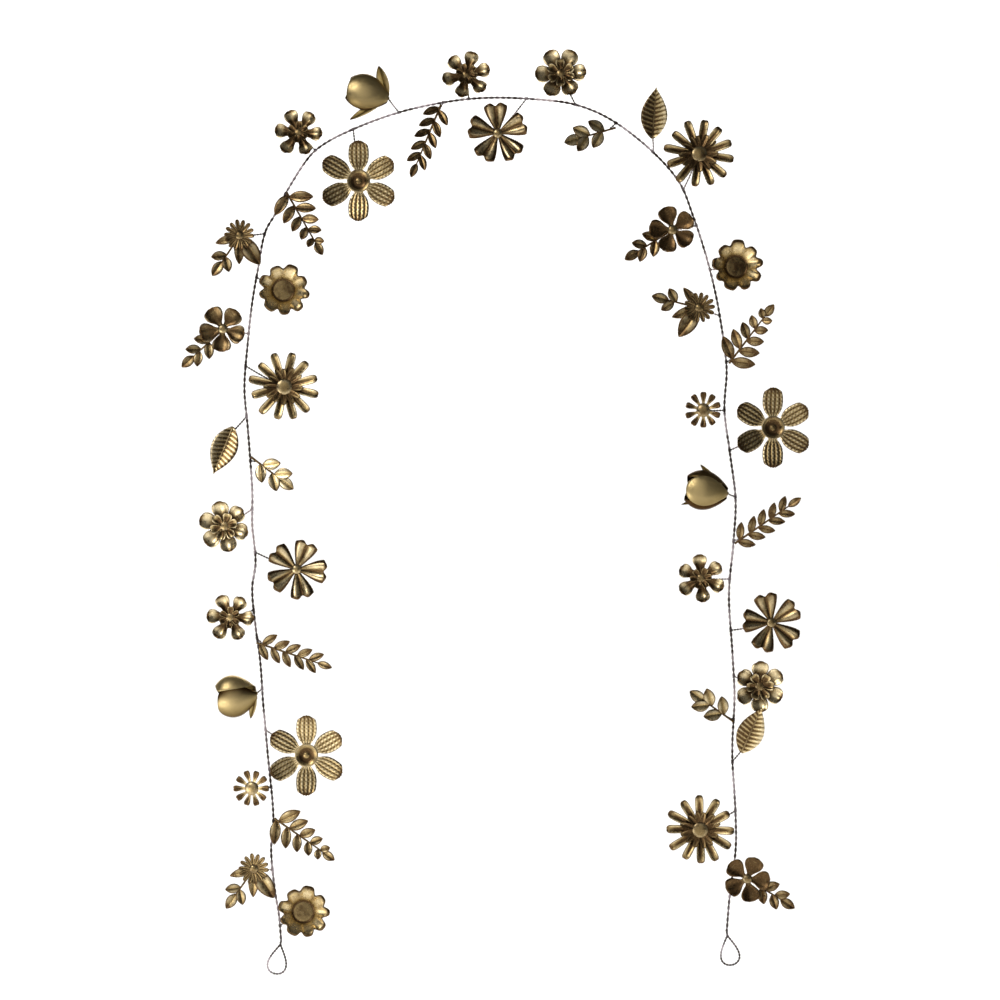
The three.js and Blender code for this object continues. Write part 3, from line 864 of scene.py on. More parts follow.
# Twelve gutters with rolled tips, shorter gutters on them, and a flat disc.
LARGE_DAISY = Bloom(
    (Whorl(Sheet(
        rows=(
            (4.6, 2.2, 2.2), (10, 3.0, 2.0), (16, 3.6, 2.6), (22, 3.9, 3.6), (28, 4.0, 4.6),
            (30.8, 3.6, 4.8), (32.4, 2.6, 4.2), (32.9, 1.4, 3.2),
        ),
        section=even(((-1.0, 1.4), (-0.76, 1.7), (-0.42, 0.5), (0, 0))),
        tones=(0.6, 0.4, 0.15, 0.0, 0.1, 0.5, 0.9, 1.0),
    ), count=12, uneven=0.1, seed=21), Whorl(Sheet(
        rows=(
            (4.0, 1.8, 4.4), (8.5, 2.5, 4.5), (13.0, 2.8, 5.4), (16.8, 2.2, 6.2), (18.4, 1.1, 6.5),
        ),
        section=even(((-1.0, 1.2), (-0.5, 0.5), (0, 0))), tones=(0.8, 0.6, 0.4, 0.4, 0.7),
    ), count=12, uneven=0.14, seed=22, turn=15)),
    Turned(rings=(
        (4.6, 0.4), (6.6, 1.2), (7.4, 4.6), (7.2, 5.6), (6.0, 6.3), (3.0, 6.8), (0.6, 7.0),
    ), tone=0.4),
)

# Ten club petals round a domed button.
SMALL_DAISY = Bloom(
    (Whorl(Sheet(
        rows=(
            (4.2, 1.1, 1.6), (8, 1.4, 1.6), (11, 2.3, 2.0), (13.8, 3.0, 2.7), (15.8, 2.7, 3.1),
            (16.6, 1.8, 2.6),
        ),
        section=even(((-1.0, 0.5), (-0.6, 0.7), (0, 0))), tones=(-0.1, -0.3, 0.5, 0.95, 1.0, 1.0),
    ), count=10, uneven=0.05, seed=31),),
    Turned(
        rings=((4.6, 0.3), (6.2, 0.8), (6.6, 1.8), (5.6, 2.8), (3.4, 3.5), (0.7, 3.8)), tone=0.4,
    ),
)

# Fourteen pointed rays round a small dome.
POINTED_DAISY = Bloom(
    (Whorl(Sheet(
        rows=(
            (2.6, 1.3, 1.3), (6, 1.6, 1.2), (9.4, 2.1, 1.5), (12, 2.1, 2.1), (13.6, 1.4, 2.5),
            (14.3, 0.5, 2.2),
        ),
        section=even(((-1.0, 0.5), (-0.5, 0.6), (0, 0))), tones=(0.5, 0.4, 0.35, 0.6, 0.9, 1.0),
    ), count=14, uneven=0.06, seed=41),),
    Turned(
        rings=((3.4, 0.3), (4.2, 0.8), (4.2, 1.6), (3.4, 2.5), (2.0, 3.1), (0.5, 3.3)), tone=0.5,
    ),
)


@dataclass(frozen=True)
class BowlFlower:
    """A deep cup round a flat disc, its rim parted into uneven lobes with rolled tips.

    Each ring has its radius, its height, how deep it is drawn in between the lobes and its tone.
    The lobes differ by up to `drift` in place, as a share of a lobe, by `leaning` in their lean
    and by `depths` in their notches, and `notch` is a notch's breadth as a share of a lobe.
    """

    lobes: int = 9
    sides: int = 81
    seed: int = 17
    drift: float = 0.13
    leaning: float = 0.05
    depths: Pair = (0.75, 1.15)
    notch: float = 0.17
    rings: tuple[tuple[float, float, float, float], ...] = (
        (0.6, 1.9, 0.0, 0.6), (5.5, 1.7, 0.0, 0.6), (8.4, 1.7, 0.0, 0.5), (9.4, 1.3, 0.0, 0.7),
        (10.6, 2.4, 0.0, 0.4), (12.6, 4.2, 0.02, -0.2), (14.8, 6.0, 0.06, -0.6),
        (17.0, 7.9, 0.11, -0.6), (19.0, 9.5, 0.16, 0.1), (20.8, 10.7, 0.2, 0.8),
        (22.2, 10.5, 0.22, 1.0), (22.9, 9.0, 0.23, 1.0),
    )

    def build(self) -> Piece:
        """Builds the flower's pattern from a small ring, extruded outwards ring by ring.

        Returns:
            The pattern.
        """
        radius, height, *_ = self.rings[0]
        piece = circle(self.sides, radius, z=height)
        with editing(piece):
            bpy.ops.mesh.select_all(action="SELECT")
            bpy.ops.mesh.region_to_loop()
            grow(self.rings, bpy.ops.mesh.extrude_edges_move)
            self.part_lobes(piece)
            face_outwards()
        if piece.data.polygons[0].normal.z < 0:
            piece.data.flip_normals()
        last = len(self.rings) - 1
        ring_of = [vert.index // self.sides for vert in piece.data.vertices]
        mark(piece, "edge", [float(ring == last) for ring in ring_of])
        mark(piece, "tone", [self.rings[ring][3] for ring in ring_of])
        return finished([rounded(piece, SHEET_THICKNESS)])

    def part_lobes(self, piece: Piece) -> None:
        """Draws the wall in between the lobes and leans each lobe in or out a little.

        Args:
            piece: the cup, in edit mode.
        """
        chance = random.Random(self.seed)
        notches = [
            (i + chance.uniform(-self.drift, self.drift)) / self.lobes for i in range(self.lobes)
        ]
        leans = [chance.uniform(-self.leaning, self.leaning) for _ in notches]
        depths = [chance.uniform(*self.depths) for _ in notches]
        deepest = self.rings[-1][2]
        for ring, (_, height, frill, _) in enumerate(self.rings):
            for side in range(self.sides) if frill else ():
                at = side / self.sides
                away = [abs((at - notch + 0.5) % 1 - 0.5) * self.lobes for notch in notches]
                near = min(range(self.lobes), key=lambda k: away[k])
                lobe = int((at - notches[0]) % 1 * self.lobes) % self.lobes
                pull = frill * depths[near] * math.exp(-((away[near] / self.notch) ** 2))
                lean = leans[lobe] * min(1.0, away[near] / 0.3) * frill / deepest
                grip(piece, lambda vert: vert.index == ring * self.sides + side)
                stretch(1 - pull + lean, 1 - pull + lean, 1, (0, 0, height * MM))
                shift(z=(-1.2 * pull - 4 * lean) * height * 0.3 * MM)


# The leaves, the fronds and the buds.


@dataclass(frozen=True)
class Leaf:
    """A pointed leaf with a creased middle, along +X, one unit of a frond."""

    length: float
    width: float
    rise: float
    slope: float = 0.0
    tone: float = 0.35

    def build(self) -> Piece:
        """Builds the leaf.

        Returns:
            The leaf.
        """
        outline = (
            (0, 0.2), (0.1, 0.62), (0.26, 1.1), (0.46, 1.26), (0.66, 1.14), (0.86, 0.7), (1.0, 0.1),
        )
        rows = tuple(
            (at * self.length, share * self.width / 2, self.slope * at * self.length)
            for at, share in outline
        )
        section = even((
            (-1.0, self.rise - 0.3 * self.rise), (-0.6, 0.8 * self.rise),
            (-0.16, 0.25 * self.rise), (0, 0),
        ))
        tones = tuple(self.tone + extra for extra in (0.7, 0.4, 0.0, -0.1, 0.1, 0.5, 0.8))
        return Sheet(rows, section, tones).build()


@dataclass(frozen=True)
class Frond:
    """A rib along +X with pairs of creased leaves and one at the tip, in mm and degrees.

    `first` and `last` are where the pairs of leaves start and end along the rib, and `splay` is
    the first pair's angle to it. The name chooses the small differences.
    """

    name: str
    length: float
    pairs: int
    first: float
    last: float
    tip_leaf: float
    leaf: float
    leaf_at_tip: float
    width: float
    splay: float
    tone: float = 0.3
    splay_closes: float = 8.0
    leaf_keeps: float = 0.4

    def breadth(self, reach: float) -> float:
        """How broad a leaf of some length is, as a share of the broadest."""
        return self.leaf_keeps + (1 - self.leaf_keeps) * reach / self.leaf

    def build(self) -> Piece:
        """Builds the frond's pattern.

        Returns:
            The pattern.
        """
        parts = [self.rib(self.length - 0.8 * self.tip_leaf)]
        pattern = Leaf(self.leaf, self.width, rise=1.5, slope=0.12, tone=self.tone).build()
        chance = random.Random(self.name)
        for i in range(self.pairs):
            share = i / max(1, self.pairs - 1)
            reach = self.leaf + (self.leaf_at_tip - self.leaf) * share
            for side in (-1, 1):
                station = self.first + (self.last - self.first) * share + side * 1.1
                angle = math.radians(side * (self.splay - self.splay_closes * share))
                parts.append(copied(pattern, (
                    moved_by(station, side * 0.15, RIB_HEIGHT)
                    @ Matrix.Rotation(angle + chance.uniform(-LEAF_TURN, LEAF_TURN), 4, "Z")
                    @ Matrix.Rotation(chance.uniform(-LEAF_ROLL, LEAF_ROLL), 4, "X")
                    @ Matrix.Diagonal((reach / self.leaf, self.breadth(reach), 1, 1))
                )))
        discard([pattern])
        broad = self.width * self.breadth(self.tip_leaf)
        end = Leaf(self.tip_leaf, broad, rise=1.5, slope=0.1, tone=self.tone).build()
        end.data.transform(moved_by(self.length - self.tip_leaf, 0, RIB_HEIGHT))
        return finished([*parts, end])

    def rib(self, length: float) -> Piece:
        """The tapering rib, with a small ring at its root.

        Args:
            length: the rib's length in mm.

        Returns:
            The rib.
        """
        stem = Turned((
            (0.9, 0.0), (1.3, 0.4), (1.2, 1.4), (1.1, 2.2), (0.9, length - 0.6), (0.4, length),
        ), sides=8, tone=0.9).build()
        stem.data.transform(moved_by(z=RIB_HEIGHT) @ turned_by(90, "Y"))
        return stem


@dataclass(frozen=True)
class ClusterLeaves:
    """The broad, the narrow and the pointed leaf behind a small daisy, fanned from one eye.

    Each leaf is given with its angle in degrees and how far it stands out from the eye in mm.
    """

    leaves: tuple[tuple[Leaf, float, float], ...] = (
        (Leaf(30, 13, 2.2), 0, 2), (Leaf(26, 8, 1.4), -36, 0), (Leaf(23, 7, 1.3), -107, 0),
    )
    eye: Turned = Turned(
        rings=((2.4, -0.5), (3.0, -0.2), (3.0, 0.3), (2.2, 0.6), (0.4, 0.7)), sides=16,
    )

    def build(self) -> Piece:
        """Builds the fan's pattern.

        Returns:
            The pattern.
        """
        fan = []
        for leaf, angle, ahead in self.leaves:
            fan.append(leaf.build())
            fan[-1].data.transform(turned_by(angle, "Z") @ moved_by(ahead))
        return finished([*fan, self.eye.build()])


@dataclass(frozen=True)
class RibbedLeaf:
    """A broad leaf with a midrib and raised side ribs, in mm."""

    length: float = 46.0
    width: float = 24.0
    ribs: int = 11
    slant: float = 4.0
    section: tuple[Pair, ...] = (
        (-1.0, 2.2), (-0.92, 3.2), (-0.7, 2.4), (-0.35, 1.1), (-0.1, 0.2), (0.1, 0.2),
        (0.35, 1.1), (0.7, 2.4), (0.92, 3.2), (1.0, 2.2),
    )
    midrib: Turned = Turned(
        rings=((0.5, 0), (1.0, 0.5), (0.9, 6), (0.55, 38), (0.2, 43)), sides=8, tone=0.5,
    )

    def build(self) -> Piece:
        """Builds the leaf's pattern.

        Returns:
            The pattern.
        """
        steps = 2 * self.ribs + 2
        rows, tones = [], []
        for i in range(steps + 1):
            share = i / steps
            ahead = share + self.slant / self.length * math.sin(math.pi * share) ** 0.5
            half = self.width / 2 * math.sin(math.pi * min(0.99, 0.02 + ahead**0.9)) ** 0.9
            ribbed = (i % 2) * (0 < i < steps)
            rows.append((share * self.length, half, 0.9 + 1.8 * share * share + 0.6 * ribbed))
            tones.append(-0.3 if ribbed else 0.9)
        plate = Sheet(tuple(rows), self.section, tuple(tones), slant=self.slant, sided=0.5).build()
        stem = self.midrib.build()
        stem.data.transform(moved_by(z=1.4) @ turned_by(88.2, "Y"))
        return finished([plate, stem])


@dataclass(frozen=True)
class TulipBud:
    """A bud of three satin petals on a cap, opening along +X, with narrow sepals beside it."""

    columns: int = 10
    rows: int = 12
    cap: Turned = Turned(rings=(
        (1.4, -1), (1.6, 0), (2.2, 1.2), (3.6, 3.2), (4.6, 5.2), (4.4, 5.8), (0.8, 5.0),
    ), tone=0.6)

    def petal(self, bud: Bud, petal: BudPetal) -> Piece:
        """One petal, shaped point by point from a flat grid round the bud's axis.

        Args:
            bud: the tulip that it belongs to.
            petal: the petal's measures.

        Returns:
            The petal.
        """
        piece = grid(self.rows, self.columns)
        start = [vert.co.copy() for vert in piece.data.vertices]
        tones = []
        with editing(piece):
            for index, point in enumerate(start):
                end, angle = self.place(bud, petal, (point.x + 1) / 2, point.y)
                grip(piece, lambda vert: vert.index == index)
                shift(*(end - point))
                # Painted shade: a petal darkens as it turns away from the front, most on the side
                # that faces down in the garland, and a lip's edge gets a painted highlight.
                aside = (abs(math.remainder(angle, FULL_TURN)) - 0.35) / 0.95
                shade = (0.9 if angle > 0 else 0.5) * max(0.0, min(1.0, aside))
                tones.append(-1.0 if petal.lip and point.y > 0.9 else petal.tone + shade)
            face_outwards()
        mark(piece, "tone", tones)
        # Painted shade on the sunk side, where the petal lies under the next one.
        mark(piece, "under_petal_shade", [
            max(0.0, (-0.4 - point.y) / 0.4) if petal.shaded else 0.0 for point in start
        ])
        return rounded(piece, PETAL_THICKNESS)

    def place(
        self, bud: Bud, petal: BudPetal, share: float, column: float
    ) -> tuple[Vector, float]:
        """Where one point of a petal goes.

        Args:
            bud: the tulip that it belongs to.
            petal: the petal's measures.
            share: the point's share of the petal's length.
            column: its place across the petal, from -1 to 1.

        Returns:
            The place in metres, and its angle round the bud's axis in radians.
        """
        spread = petal.half * max(0.12, math.sin(math.pi * (0.05 + 0.85 * share))) ** 0.3
        angle = math.radians(petal.around + spread * column)
        swell = math.sin(math.pi * (0.04 + 0.8 * share**1.1)) ** 0.66
        if petal.lip:
            first = math.radians(petal.around - petal.half)
            angle = first - (first + math.asin(min(1.0, petal.lip / swell))) * (column + 1) / 2
        tip = max(0.0, share - 0.9) * 10
        radius = (bud.girth - 0.4 + petal.raised) * swell + petal.lap * column * (1 - 0.5 * tip)
        length = bud.length * share - 1.6 * tip * column * column
        across, height = radius * math.sin(angle), radius * math.cos(angle)
        place = Vector((length, across, BUD_AXIS_HEIGHT + BUD_FLATNESS * height)) * MM
        return place, angle

    def build(self, bud: Bud) -> Piece:
        """Builds one tulip.

        Args:
            bud: the tulip's measures.

        Returns:
            The tulip, at the origin.
        """
        parts = [self.petal(bud, petal) for petal in bud.petals]
        cap = self.cap.build()
        cap.data.transform(moved_by(z=BUD_AXIS_HEIGHT) @ turned_by(90, "Y"))
        parts.append(cap)
        for angle, length, width in bud.sepals:
            sepal = Leaf(length, width, rise=1.3, tone=-0.1).build()
            sepal.data.transform(
                moved_by(1, 0, BUD_AXIS_HEIGHT) @ turned_by(angle, "Z")
                @ turned_by(math.copysign(24, angle), "X")
            )
            parts.append(sepal)
        return finished(parts)


@dataclass(frozen=True)
class Pattern:
    """One piece of a kind: the node it stands for, how it is made and how it is set."""

    node: str
    build: Callable[..., Piece]
    slot: Slot = Slot.BRASS
    forward: float = 0.0
    turn_by: float = 0.0
    by_tail: bool = False


@dataclass(frozen=True)
class Habit:
    """How a kind sits: its nod away from the wire or its lift, in degrees, and its patterns."""

    patterns: tuple[Pattern, ...]
    nod: float = 0.0
    lift: float = 0.0
    is_bud: bool = False


def frond(name: str, tone: float, **sizes: float) -> Habit:
    """How a frond that stands alone sits.

    Args:
        name: its node's name without the number.
        tone: its leaves' tone.
        sizes: its other measures.

    Returns:
        The habit.
    """
    return Habit((Pattern(name, Frond(name, tone=tone, **sizes).build),), lift=FROND_LIFT)


DAISY_SPRIG = Frond(
    "daisy_sprig", length=44, pairs=1, first=22, last=22, tip_leaf=16, leaf=14, leaf_at_tip=14,
    width=7.4, splay=48,
)
FIVE_PETAL_SPRIG = Frond(
    "five_petal_sprig", length=50.6, pairs=2, first=16.5, last=28, tip_leaf=15, leaf=15,
    leaf_at_tip=14, width=7.6, splay=50, tone=0.5,
)

HABITS: dict[Kind, Habit] = {
    Kind.BOWL_FLOWER: Habit((Pattern("bowl_flower", BowlFlower().build),), nod=FLOWER_NOD),
    Kind.DAISY_CLUSTER: Habit((
        Pattern("daisy_sprig", DAISY_SPRIG.build, turn_by=-69),
        Pattern("daisy_leaves", ClusterLeaves().build, forward=LAYER),
        Pattern("pointed_daisy", POINTED_DAISY.build, forward=2 * LAYER),
    )),
    Kind.WIDE_FROND: frond(
        "wide_frond", 0.5, length=66.5, pairs=5, first=4, last=49.5, tip_leaf=13.5, leaf=22,
        leaf_at_tip=9.5, width=9, splay=58,
    ),
    Kind.SMALL_DAISY: Habit((Pattern("small_daisy", SMALL_DAISY.build),), nod=FLOWER_NOD),
    Kind.PLEATED_FLOWER: Habit(
        (Pattern("pleated_flower", PLEATED_FLOWER.build),), nod=FLOWER_NOD / 2,
    ),
    Kind.TULIP: Habit((Pattern("tulip", TulipBud().build, slot=Slot.SATIN),), is_bud=True),
    Kind.NARROW_FROND: frond(
        "narrow_frond", 0.58, length=72.5, pairs=5, first=4.5, last=49, tip_leaf=14, leaf=16.4,
        leaf_at_tip=15, width=6.4, splay=46,
    ),
    Kind.CUPPED_FLOWER: Habit((Pattern("cupped_flower", CUPPED_FLOWER.build),), nod=FLOWER_NOD),
    Kind.NOTCHED_FLOWER: Habit(
        (Pattern("notched_flower", NOTCHED_FLOWER.build),), nod=FLOWER_NOD / 2,
    ),
    Kind.DOUBLE_FLOWER: Habit((Pattern("double_flower", DOUBLE_FLOWER.build),), nod=FLOWER_NOD),
    Kind.SMALL_FROND: frond(
        "small_frond", 0.02, length=49, pairs=2, first=12, last=25.5, tip_leaf=17, leaf=17,
        leaf_at_tip=17, width=9, splay=46,
    ),
    Kind.RIBBED_LEAF: Habit((Pattern("ribbed_leaf", RibbedLeaf().build),), lift=FROND_LIFT),
    Kind.LARGE_DAISY: Habit((Pattern("large_daisy", LARGE_DAISY.build),), nod=FLOWER_NOD / 2),
    Kind.FIVE_PETAL_CLUSTER: Habit((
        Pattern("five_petal_sprig", FIVE_PETAL_SPRIG.build, by_tail=True),
        Pattern("five_petal_flower", FIVE_PETAL_FLOWER.build, forward=LAYER),
    )),
}


# The wires.


def centripetal(points: tuple[Pair, ...], steps: int = 14) -> list[Vector]:
    """A smooth route through points in the plane of the arch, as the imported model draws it.

    Args:
        points: the (x, z) points in mm.
        steps: how many pieces each span is cut into.

    Returns:
        The route's points in metres.
    """
    knots = [Vector((x, 0, z)) * MM for x, z in points]
    route: list[Vector] = []
    for i in range(len(knots) - 1):
        before = knots[i - 1] if i else knots[0] * 2 - knots[1]
        after = knots[i + 2] if i + 2 < len(knots) else knots[-1] * 2 - knots[-2]
        p = (before, knots[i], knots[i + 1], after)
        gaps = [max((p[k + 1] - p[k]).length_squared ** 0.25, 1e-5) for k in range(3)]
        enter = (p[1] - p[0]) / gaps[0] - (p[2] - p[0]) / (gaps[0] + gaps[1])
        enter = (enter + (p[2] - p[1]) / gaps[1]) * gaps[1]
        leave = (p[2] - p[1]) / gaps[1] - (p[3] - p[1]) / (gaps[1] + gaps[2])
        leave = (leave + (p[3] - p[2]) / gaps[2]) * gaps[1]
        for k in range(steps):
            t = k / steps
            route.append(
                p[1] * (2 * t**3 - 3 * t**2 + 1) + enter * (t**3 - 2 * t**2 + t)
                + p[2] * (3 * t**2 - 2 * t**3) + leave * (t**3 - t**2)
            )
    route.append(knots[-1])
    return route


def route_length(route: list[Vector]) -> float:
    """The length of a route in metres."""
    return sum((b - a).length for a, b in zip(route, route[1:]))


def heading(degrees: float) -> Vector:
    """The direction of a turn in the plane of the arch."""
    turn = math.radians(degrees)
    return Vector((math.cos(turn), 0, math.sin(turn)))


def foot_on(route: list[Vector], place: Place) -> int:
    """The number of the route's point where a stem leaves the main wire."""
    foot = Vector((place.foot[0], 0, place.foot[1])) * MM
    return min(range(len(route)), key=lambda i: (route[i] - foot).length)


@dataclass(frozen=True)
class TwistedPair:
    """Two strands twisted together along a route, in mm."""

    diameter: float
    pitch: float
    sides: int = 8
    steps_per_turn: int = 14

    def build(self, route: list[Vector], name: str) -> Piece:
        """Twists two circles up one axis, then bends the pair along the route.

        Args:
            route: the points that it follows, in metres.
            name: the new piece's name.

        Returns:
            The pair of strands.
        """
        strand = self.diameter / 4
        pair = joined([circle(self.sides, strand, x=side * strand) for side in (-1, 1)], name)
        with editing(pair):
            bpy.ops.mesh.select_all(action="SELECT")
            bpy.ops.mesh.delete(type="ONLY_FACE")
        length = route_length(route)
        turns = length / (self.pitch * MM)
        screwed(pair, turns, length, max(6, round(turns * self.steps_per_turn)))
        path = bpy.data.curves.new("route", "CURVE")
        path.dimensions = "3D"
        path.twist_mode = "MINIMUM"
        spline = path.splines.new("POLY")
        spline.points.add(len(route) - 1)
        for point, place in zip(spline.points, route):
            point.co = (*place, 1)
        guide = bpy.data.objects.new("route", path)
        bpy.context.collection.objects.link(guide)
        modify(pair, "CURVE", object=guide, deform_axis="POS_Z")
        discard([guide])
        return pair


@dataclass(frozen=True)
class Wires:
    """The main wire, the stems with their wraps, and the end loops with their necks."""

    main: TwistedPair = TwistedPair(WIRE_DIAMETER, 10.5, steps_per_turn=12)
    stem: TwistedPair = TwistedPair(1.7, 5.2, sides=6, steps_per_turn=9)
    loop: TwistedPair = TwistedPair(2.0, 5.6)
    neck: TwistedPair = TwistedPair(2.3, 3.0)
    wrap_radius: float = 1.14
    wrap_strand: float = 0.36
    wrap_length: float = 2.6
    shortest_stem: float = 3.0

    def stem_route(self, foot: Vector, place: Place) -> list[Vector]:
        """The sagging line from the main wire to just behind a piece, or below a bud.

        Args:
            foot: where the stem leaves the wire, in metres.
            place: the piece that it carries.

        Returns:
            The line's points in metres.
        """
        habit = HABITS[place.kind]
        ahead = heading(place.turn)
        end = Vector((place.centre[0], STEM_END_Y, place.centre[1]))
        if habit.is_bud:
            end.y = BACK_PLANE - BUD_AXIS_HEIGHT
            end += ahead * STEM_INTO_BUD
        elif habit.lift:
            lift = place.lift or habit.lift
            under = STEM_UNDER_FROND * FROND_LIFT / lift
            end += ahead * under
            end.y -= STEM_FOLLOW * under * math.tan(math.radians(lift))
        end *= MM
        elbow = foot.lerp(end, 0.5)
        elbow.z -= STEM_SAG * (end - foot).length
        return [
            foot * (1 - t) ** 2 + elbow * 2 * t * (1 - t) + end * t**2
            for t in (k / STEM_POINTS for k in range(STEM_POINTS + 1))
        ]

    def wrap(self, route: list[Vector], at: int) -> Piece:
        """Three turns of a stem's own wire round the main wire at its foot.

        Args:
            route: the main wire's points.
            at: the number of the point where the stem leaves.

        Returns:
            The wrap.
        """
        low, high = max(0, at - 1), min(len(route) - 1, at + 1)
        along = (route[high] - route[low]).normalized()
        coil = circle(6, self.wrap_strand, fill="NOTHING")
        with editing(coil):
            bpy.ops.mesh.select_all(action="SELECT")
            bpy.ops.transform.rotate(
                value=math.pi / 2, orient_axis="X", center_override=(0, 0, 0)
            )
            shift(x=self.wrap_radius * MM)
        screwed(coil, 3, self.wrap_length * MM, 48)
        turn = Vector((0, 0, 1)).rotation_difference(along).to_matrix().to_4x4()
        centre = route[at] + Vector((0, -0.3 * MM, 0)) - along * self.wrap_length / 2 * MM
        coil.data.transform(Matrix.Translation(centre) @ turn)
        return coil

    def end_loop(self, name: str, throat: Pair, lean: float) -> Piece:
        """A teardrop loop with the close winding that binds it to the wire's end.

        Args:
            name: the loop's node.
            throat: the wire's end as (x, z) in mm.
            lean: the loop's lean in degrees.

        Returns:
            The loop with its neck.
        """
        turn = turned_by(lean, "Y")
        place = moved_by(throat[0], 0, throat[1])
        points = []
        for k in range(1, LOOP_POINTS):
            angle = FULL_TURN * k / LOOP_POINTS
            side = math.sin(angle) * math.sin(angle / 2) ** LOOP_TAPER
            drop = (1 - math.cos(angle)) / 2
            points.append(place @ turn @ (Vector((
                side * LOOP_WIDTH * LOOP_BULGE, 0, LOOP_TUCK - LOOP_NECK - drop * LOOP_LENGTH,
            )) * MM))
        top = Vector((throat[0], 0, throat[1]))
        down = turn.to_3x3() @ Vector((0, 0, -1))
        line = [
            (top + down * (k / NECK_POINTS) * (LOOP_NECK + NECK_OVERLAP)) * MM
            for k in range(NECK_POINTS + 1)
        ]
        loop = self.loop.build(points, name)
        return joined([loop, self.neck.build(line, name)], f"{name}_dressed")

    def build(self) -> list[tuple[Piece, str]]:
        """Builds every wire.

        Returns:
            Each piece with the node that it stands for.
        """
        route = centripetal(WIRE_ROUTE)
        wire = self.main.build(route, "main_wire")
        stems, wraps = [], []
        for place in PLACES:
            at = foot_on(route, place)
            line = self.stem_route(route[at], place)
            if route_length(line) > self.shortest_stem * MM:
                stems.append(self.stem.build(line, "stem"))
            wraps.append(self.wrap(route, at))
        wires = [wire, joined(stems, "stems"), joined(wraps, "stem_wraps")]
        return [(piece, "twisted_wire_and_stems") for piece in wires] + [
            (self.end_loop(name, throat, lean), name) for name, throat, lean in (
                ("left_end_loop", WIRE_ROUTE[0], 10.0), ("right_end_loop", WIRE_ROUTE[-1], -8.0),
            )
        ]


# The finishes.


class Finish:
    """One metal material, built node by node on Object coordinates."""

    def __init__(self, name: str, metallic: float) -> None:
        """Starts the material.

        Args:
            name: the material's name.
            metallic: how metallic its surface is.
        """
        self.material = bpy.data.materials.new(name)
        self.material.use_nodes = True
        self.nodes = self.material.node_tree.nodes
        self.shader = self.nodes["Principled BSDF"]
        self.shader.inputs["Metallic"].default_value = metallic
        self.place = self.nodes.new("ShaderNodeTexCoord").outputs["Object"]

    def link(self, source: Socket, target: Socket) -> None:
        """Links an output to an input."""
        self.material.node_tree.links.new(source, target)

    def add(
        self, kind: str, out: str, inputs: dict[str | int, object], **settings: object
    ) -> Socket:
        """Adds one node.

        Args:
            kind: the node's type without its prefix.
            out: the wanted output's name.
            inputs: each input's value or the output that feeds it.
            settings: the node's own settings.

        Returns:
            The output.
        """
        node = self.nodes.new(f"ShaderNode{kind}")
        for key, value in settings.items():
            setattr(node, key, value)
        for key, value in inputs.items():
            if isinstance(value, Socket):
                self.link(value, node.inputs[key])
            else:
                node.inputs[key].default_value = value
        return node.outputs[out]

    def noise(self, scale: float, detail: float) -> Socket:
        """A noise on the piece, as many times to the metre as its scale says."""
        return self.add("TexNoise", "Fac", {"Scale": scale, "Detail": detail, "Vector": self.place})

    def ranged(self, source: Socket, low: float, high: float, start: float, end: float) -> Socket:
        """A value that goes from start to end while its source goes from low to high."""
        return self.add("MapRange", "Result", {
            "From Min": low, "From Max": high, "To Min": start, "To Max": end, "Value": source,
        })

    def maths(self, kind: str, first: Socket, second: Socket) -> Socket:
        """Two values put together and kept between 0 and 1."""
        return self.add("Math", "Value", {0: first, 1: second}, operation=kind, use_clamp=True)

    def blend(self, share: Socket, first: object, second: Triple) -> Socket:
        """The first colour, with a share of the second one."""
        inputs = {"Factor": share, "A": first, "B": (*second, 1)}
        return self.add("Mix", "Result", inputs, data_type="RGBA")

    def written(self, name: str) -> Socket:
        """The numbers that were marked on the piece."""
        return self.add("Attribute", "Fac", {}, attribute_name=name)


@dataclass(frozen=True)
class Brass:
    """Stamped brass: rubbed bright on the crests, dark brown in the hollows and along the edges,
    plus painted shade and highlights.
    """

    name: str
    bright: Triple
    mid: Triple
    dark: Triple
    roughness: float
    patina: float
    edge: float
    blotches: float
    grain: float

    def make(self) -> bpy.types.Material:
        """Builds the material.

        Returns:
            The material.
        """
        metal = Finish(self.name, metallic=1.0)
        # The tone mark carries painted shade and painted highlights as well as the finish, and the
        # under-petal mark is painted shade.
        tone = metal.written("tone")
        hollow = metal.ranged(metal.written("hollow"), 0.52, 0.85, 0.0, self.patina)
        raised = metal.ranged(metal.written("hollow"), 0.48, 0.15, 0.0, 1.0)
        rim = metal.ranged(metal.written("edge"), 0.3, 0.9, 0.0, self.edge)
        # Painted shade where a petal lies under the next one.
        under_petal_shade = metal.ranged(metal.written("under_petal_shade"), 0.0, 1.0, 0.0, 0.95)
        blotch = metal.ranged(metal.noise(BLOTCH_SCALE, 6), 0.5, 0.8, 0.0, self.blotches)
        patina_and_shade = metal.maths(
            "MAXIMUM", metal.maths("MAXIMUM", hollow, rim), metal.maths("MAXIMUM", blotch, under_petal_shade)
        )
        colour = metal.blend(metal.maths("SUBTRACT", raised, tone), (*self.mid, 1), self.bright)
        colour = metal.blend(metal.maths("ADD", patina_and_shade, tone), colour, self.dark)
        metal.link(colour, metal.shader.inputs["Base Color"])
        low, high = self.roughness - ROUGHNESS_DROP, self.roughness + ROUGHNESS_RISE
        rough = metal.ranged(metal.noise(ROUGH_SCALE, 4), 0.3, 0.7, low, high)
        metal.link(rough, metal.shader.inputs["Roughness"])
        bump = metal.add("Bump", "Normal", {
            "Strength": self.grain, "Distance": GRAIN_DEPTH, "Height": metal.noise(GRAIN_SCALE, 3),
        })
        metal.link(bump, metal.shader.inputs["Normal"])
        return metal.material


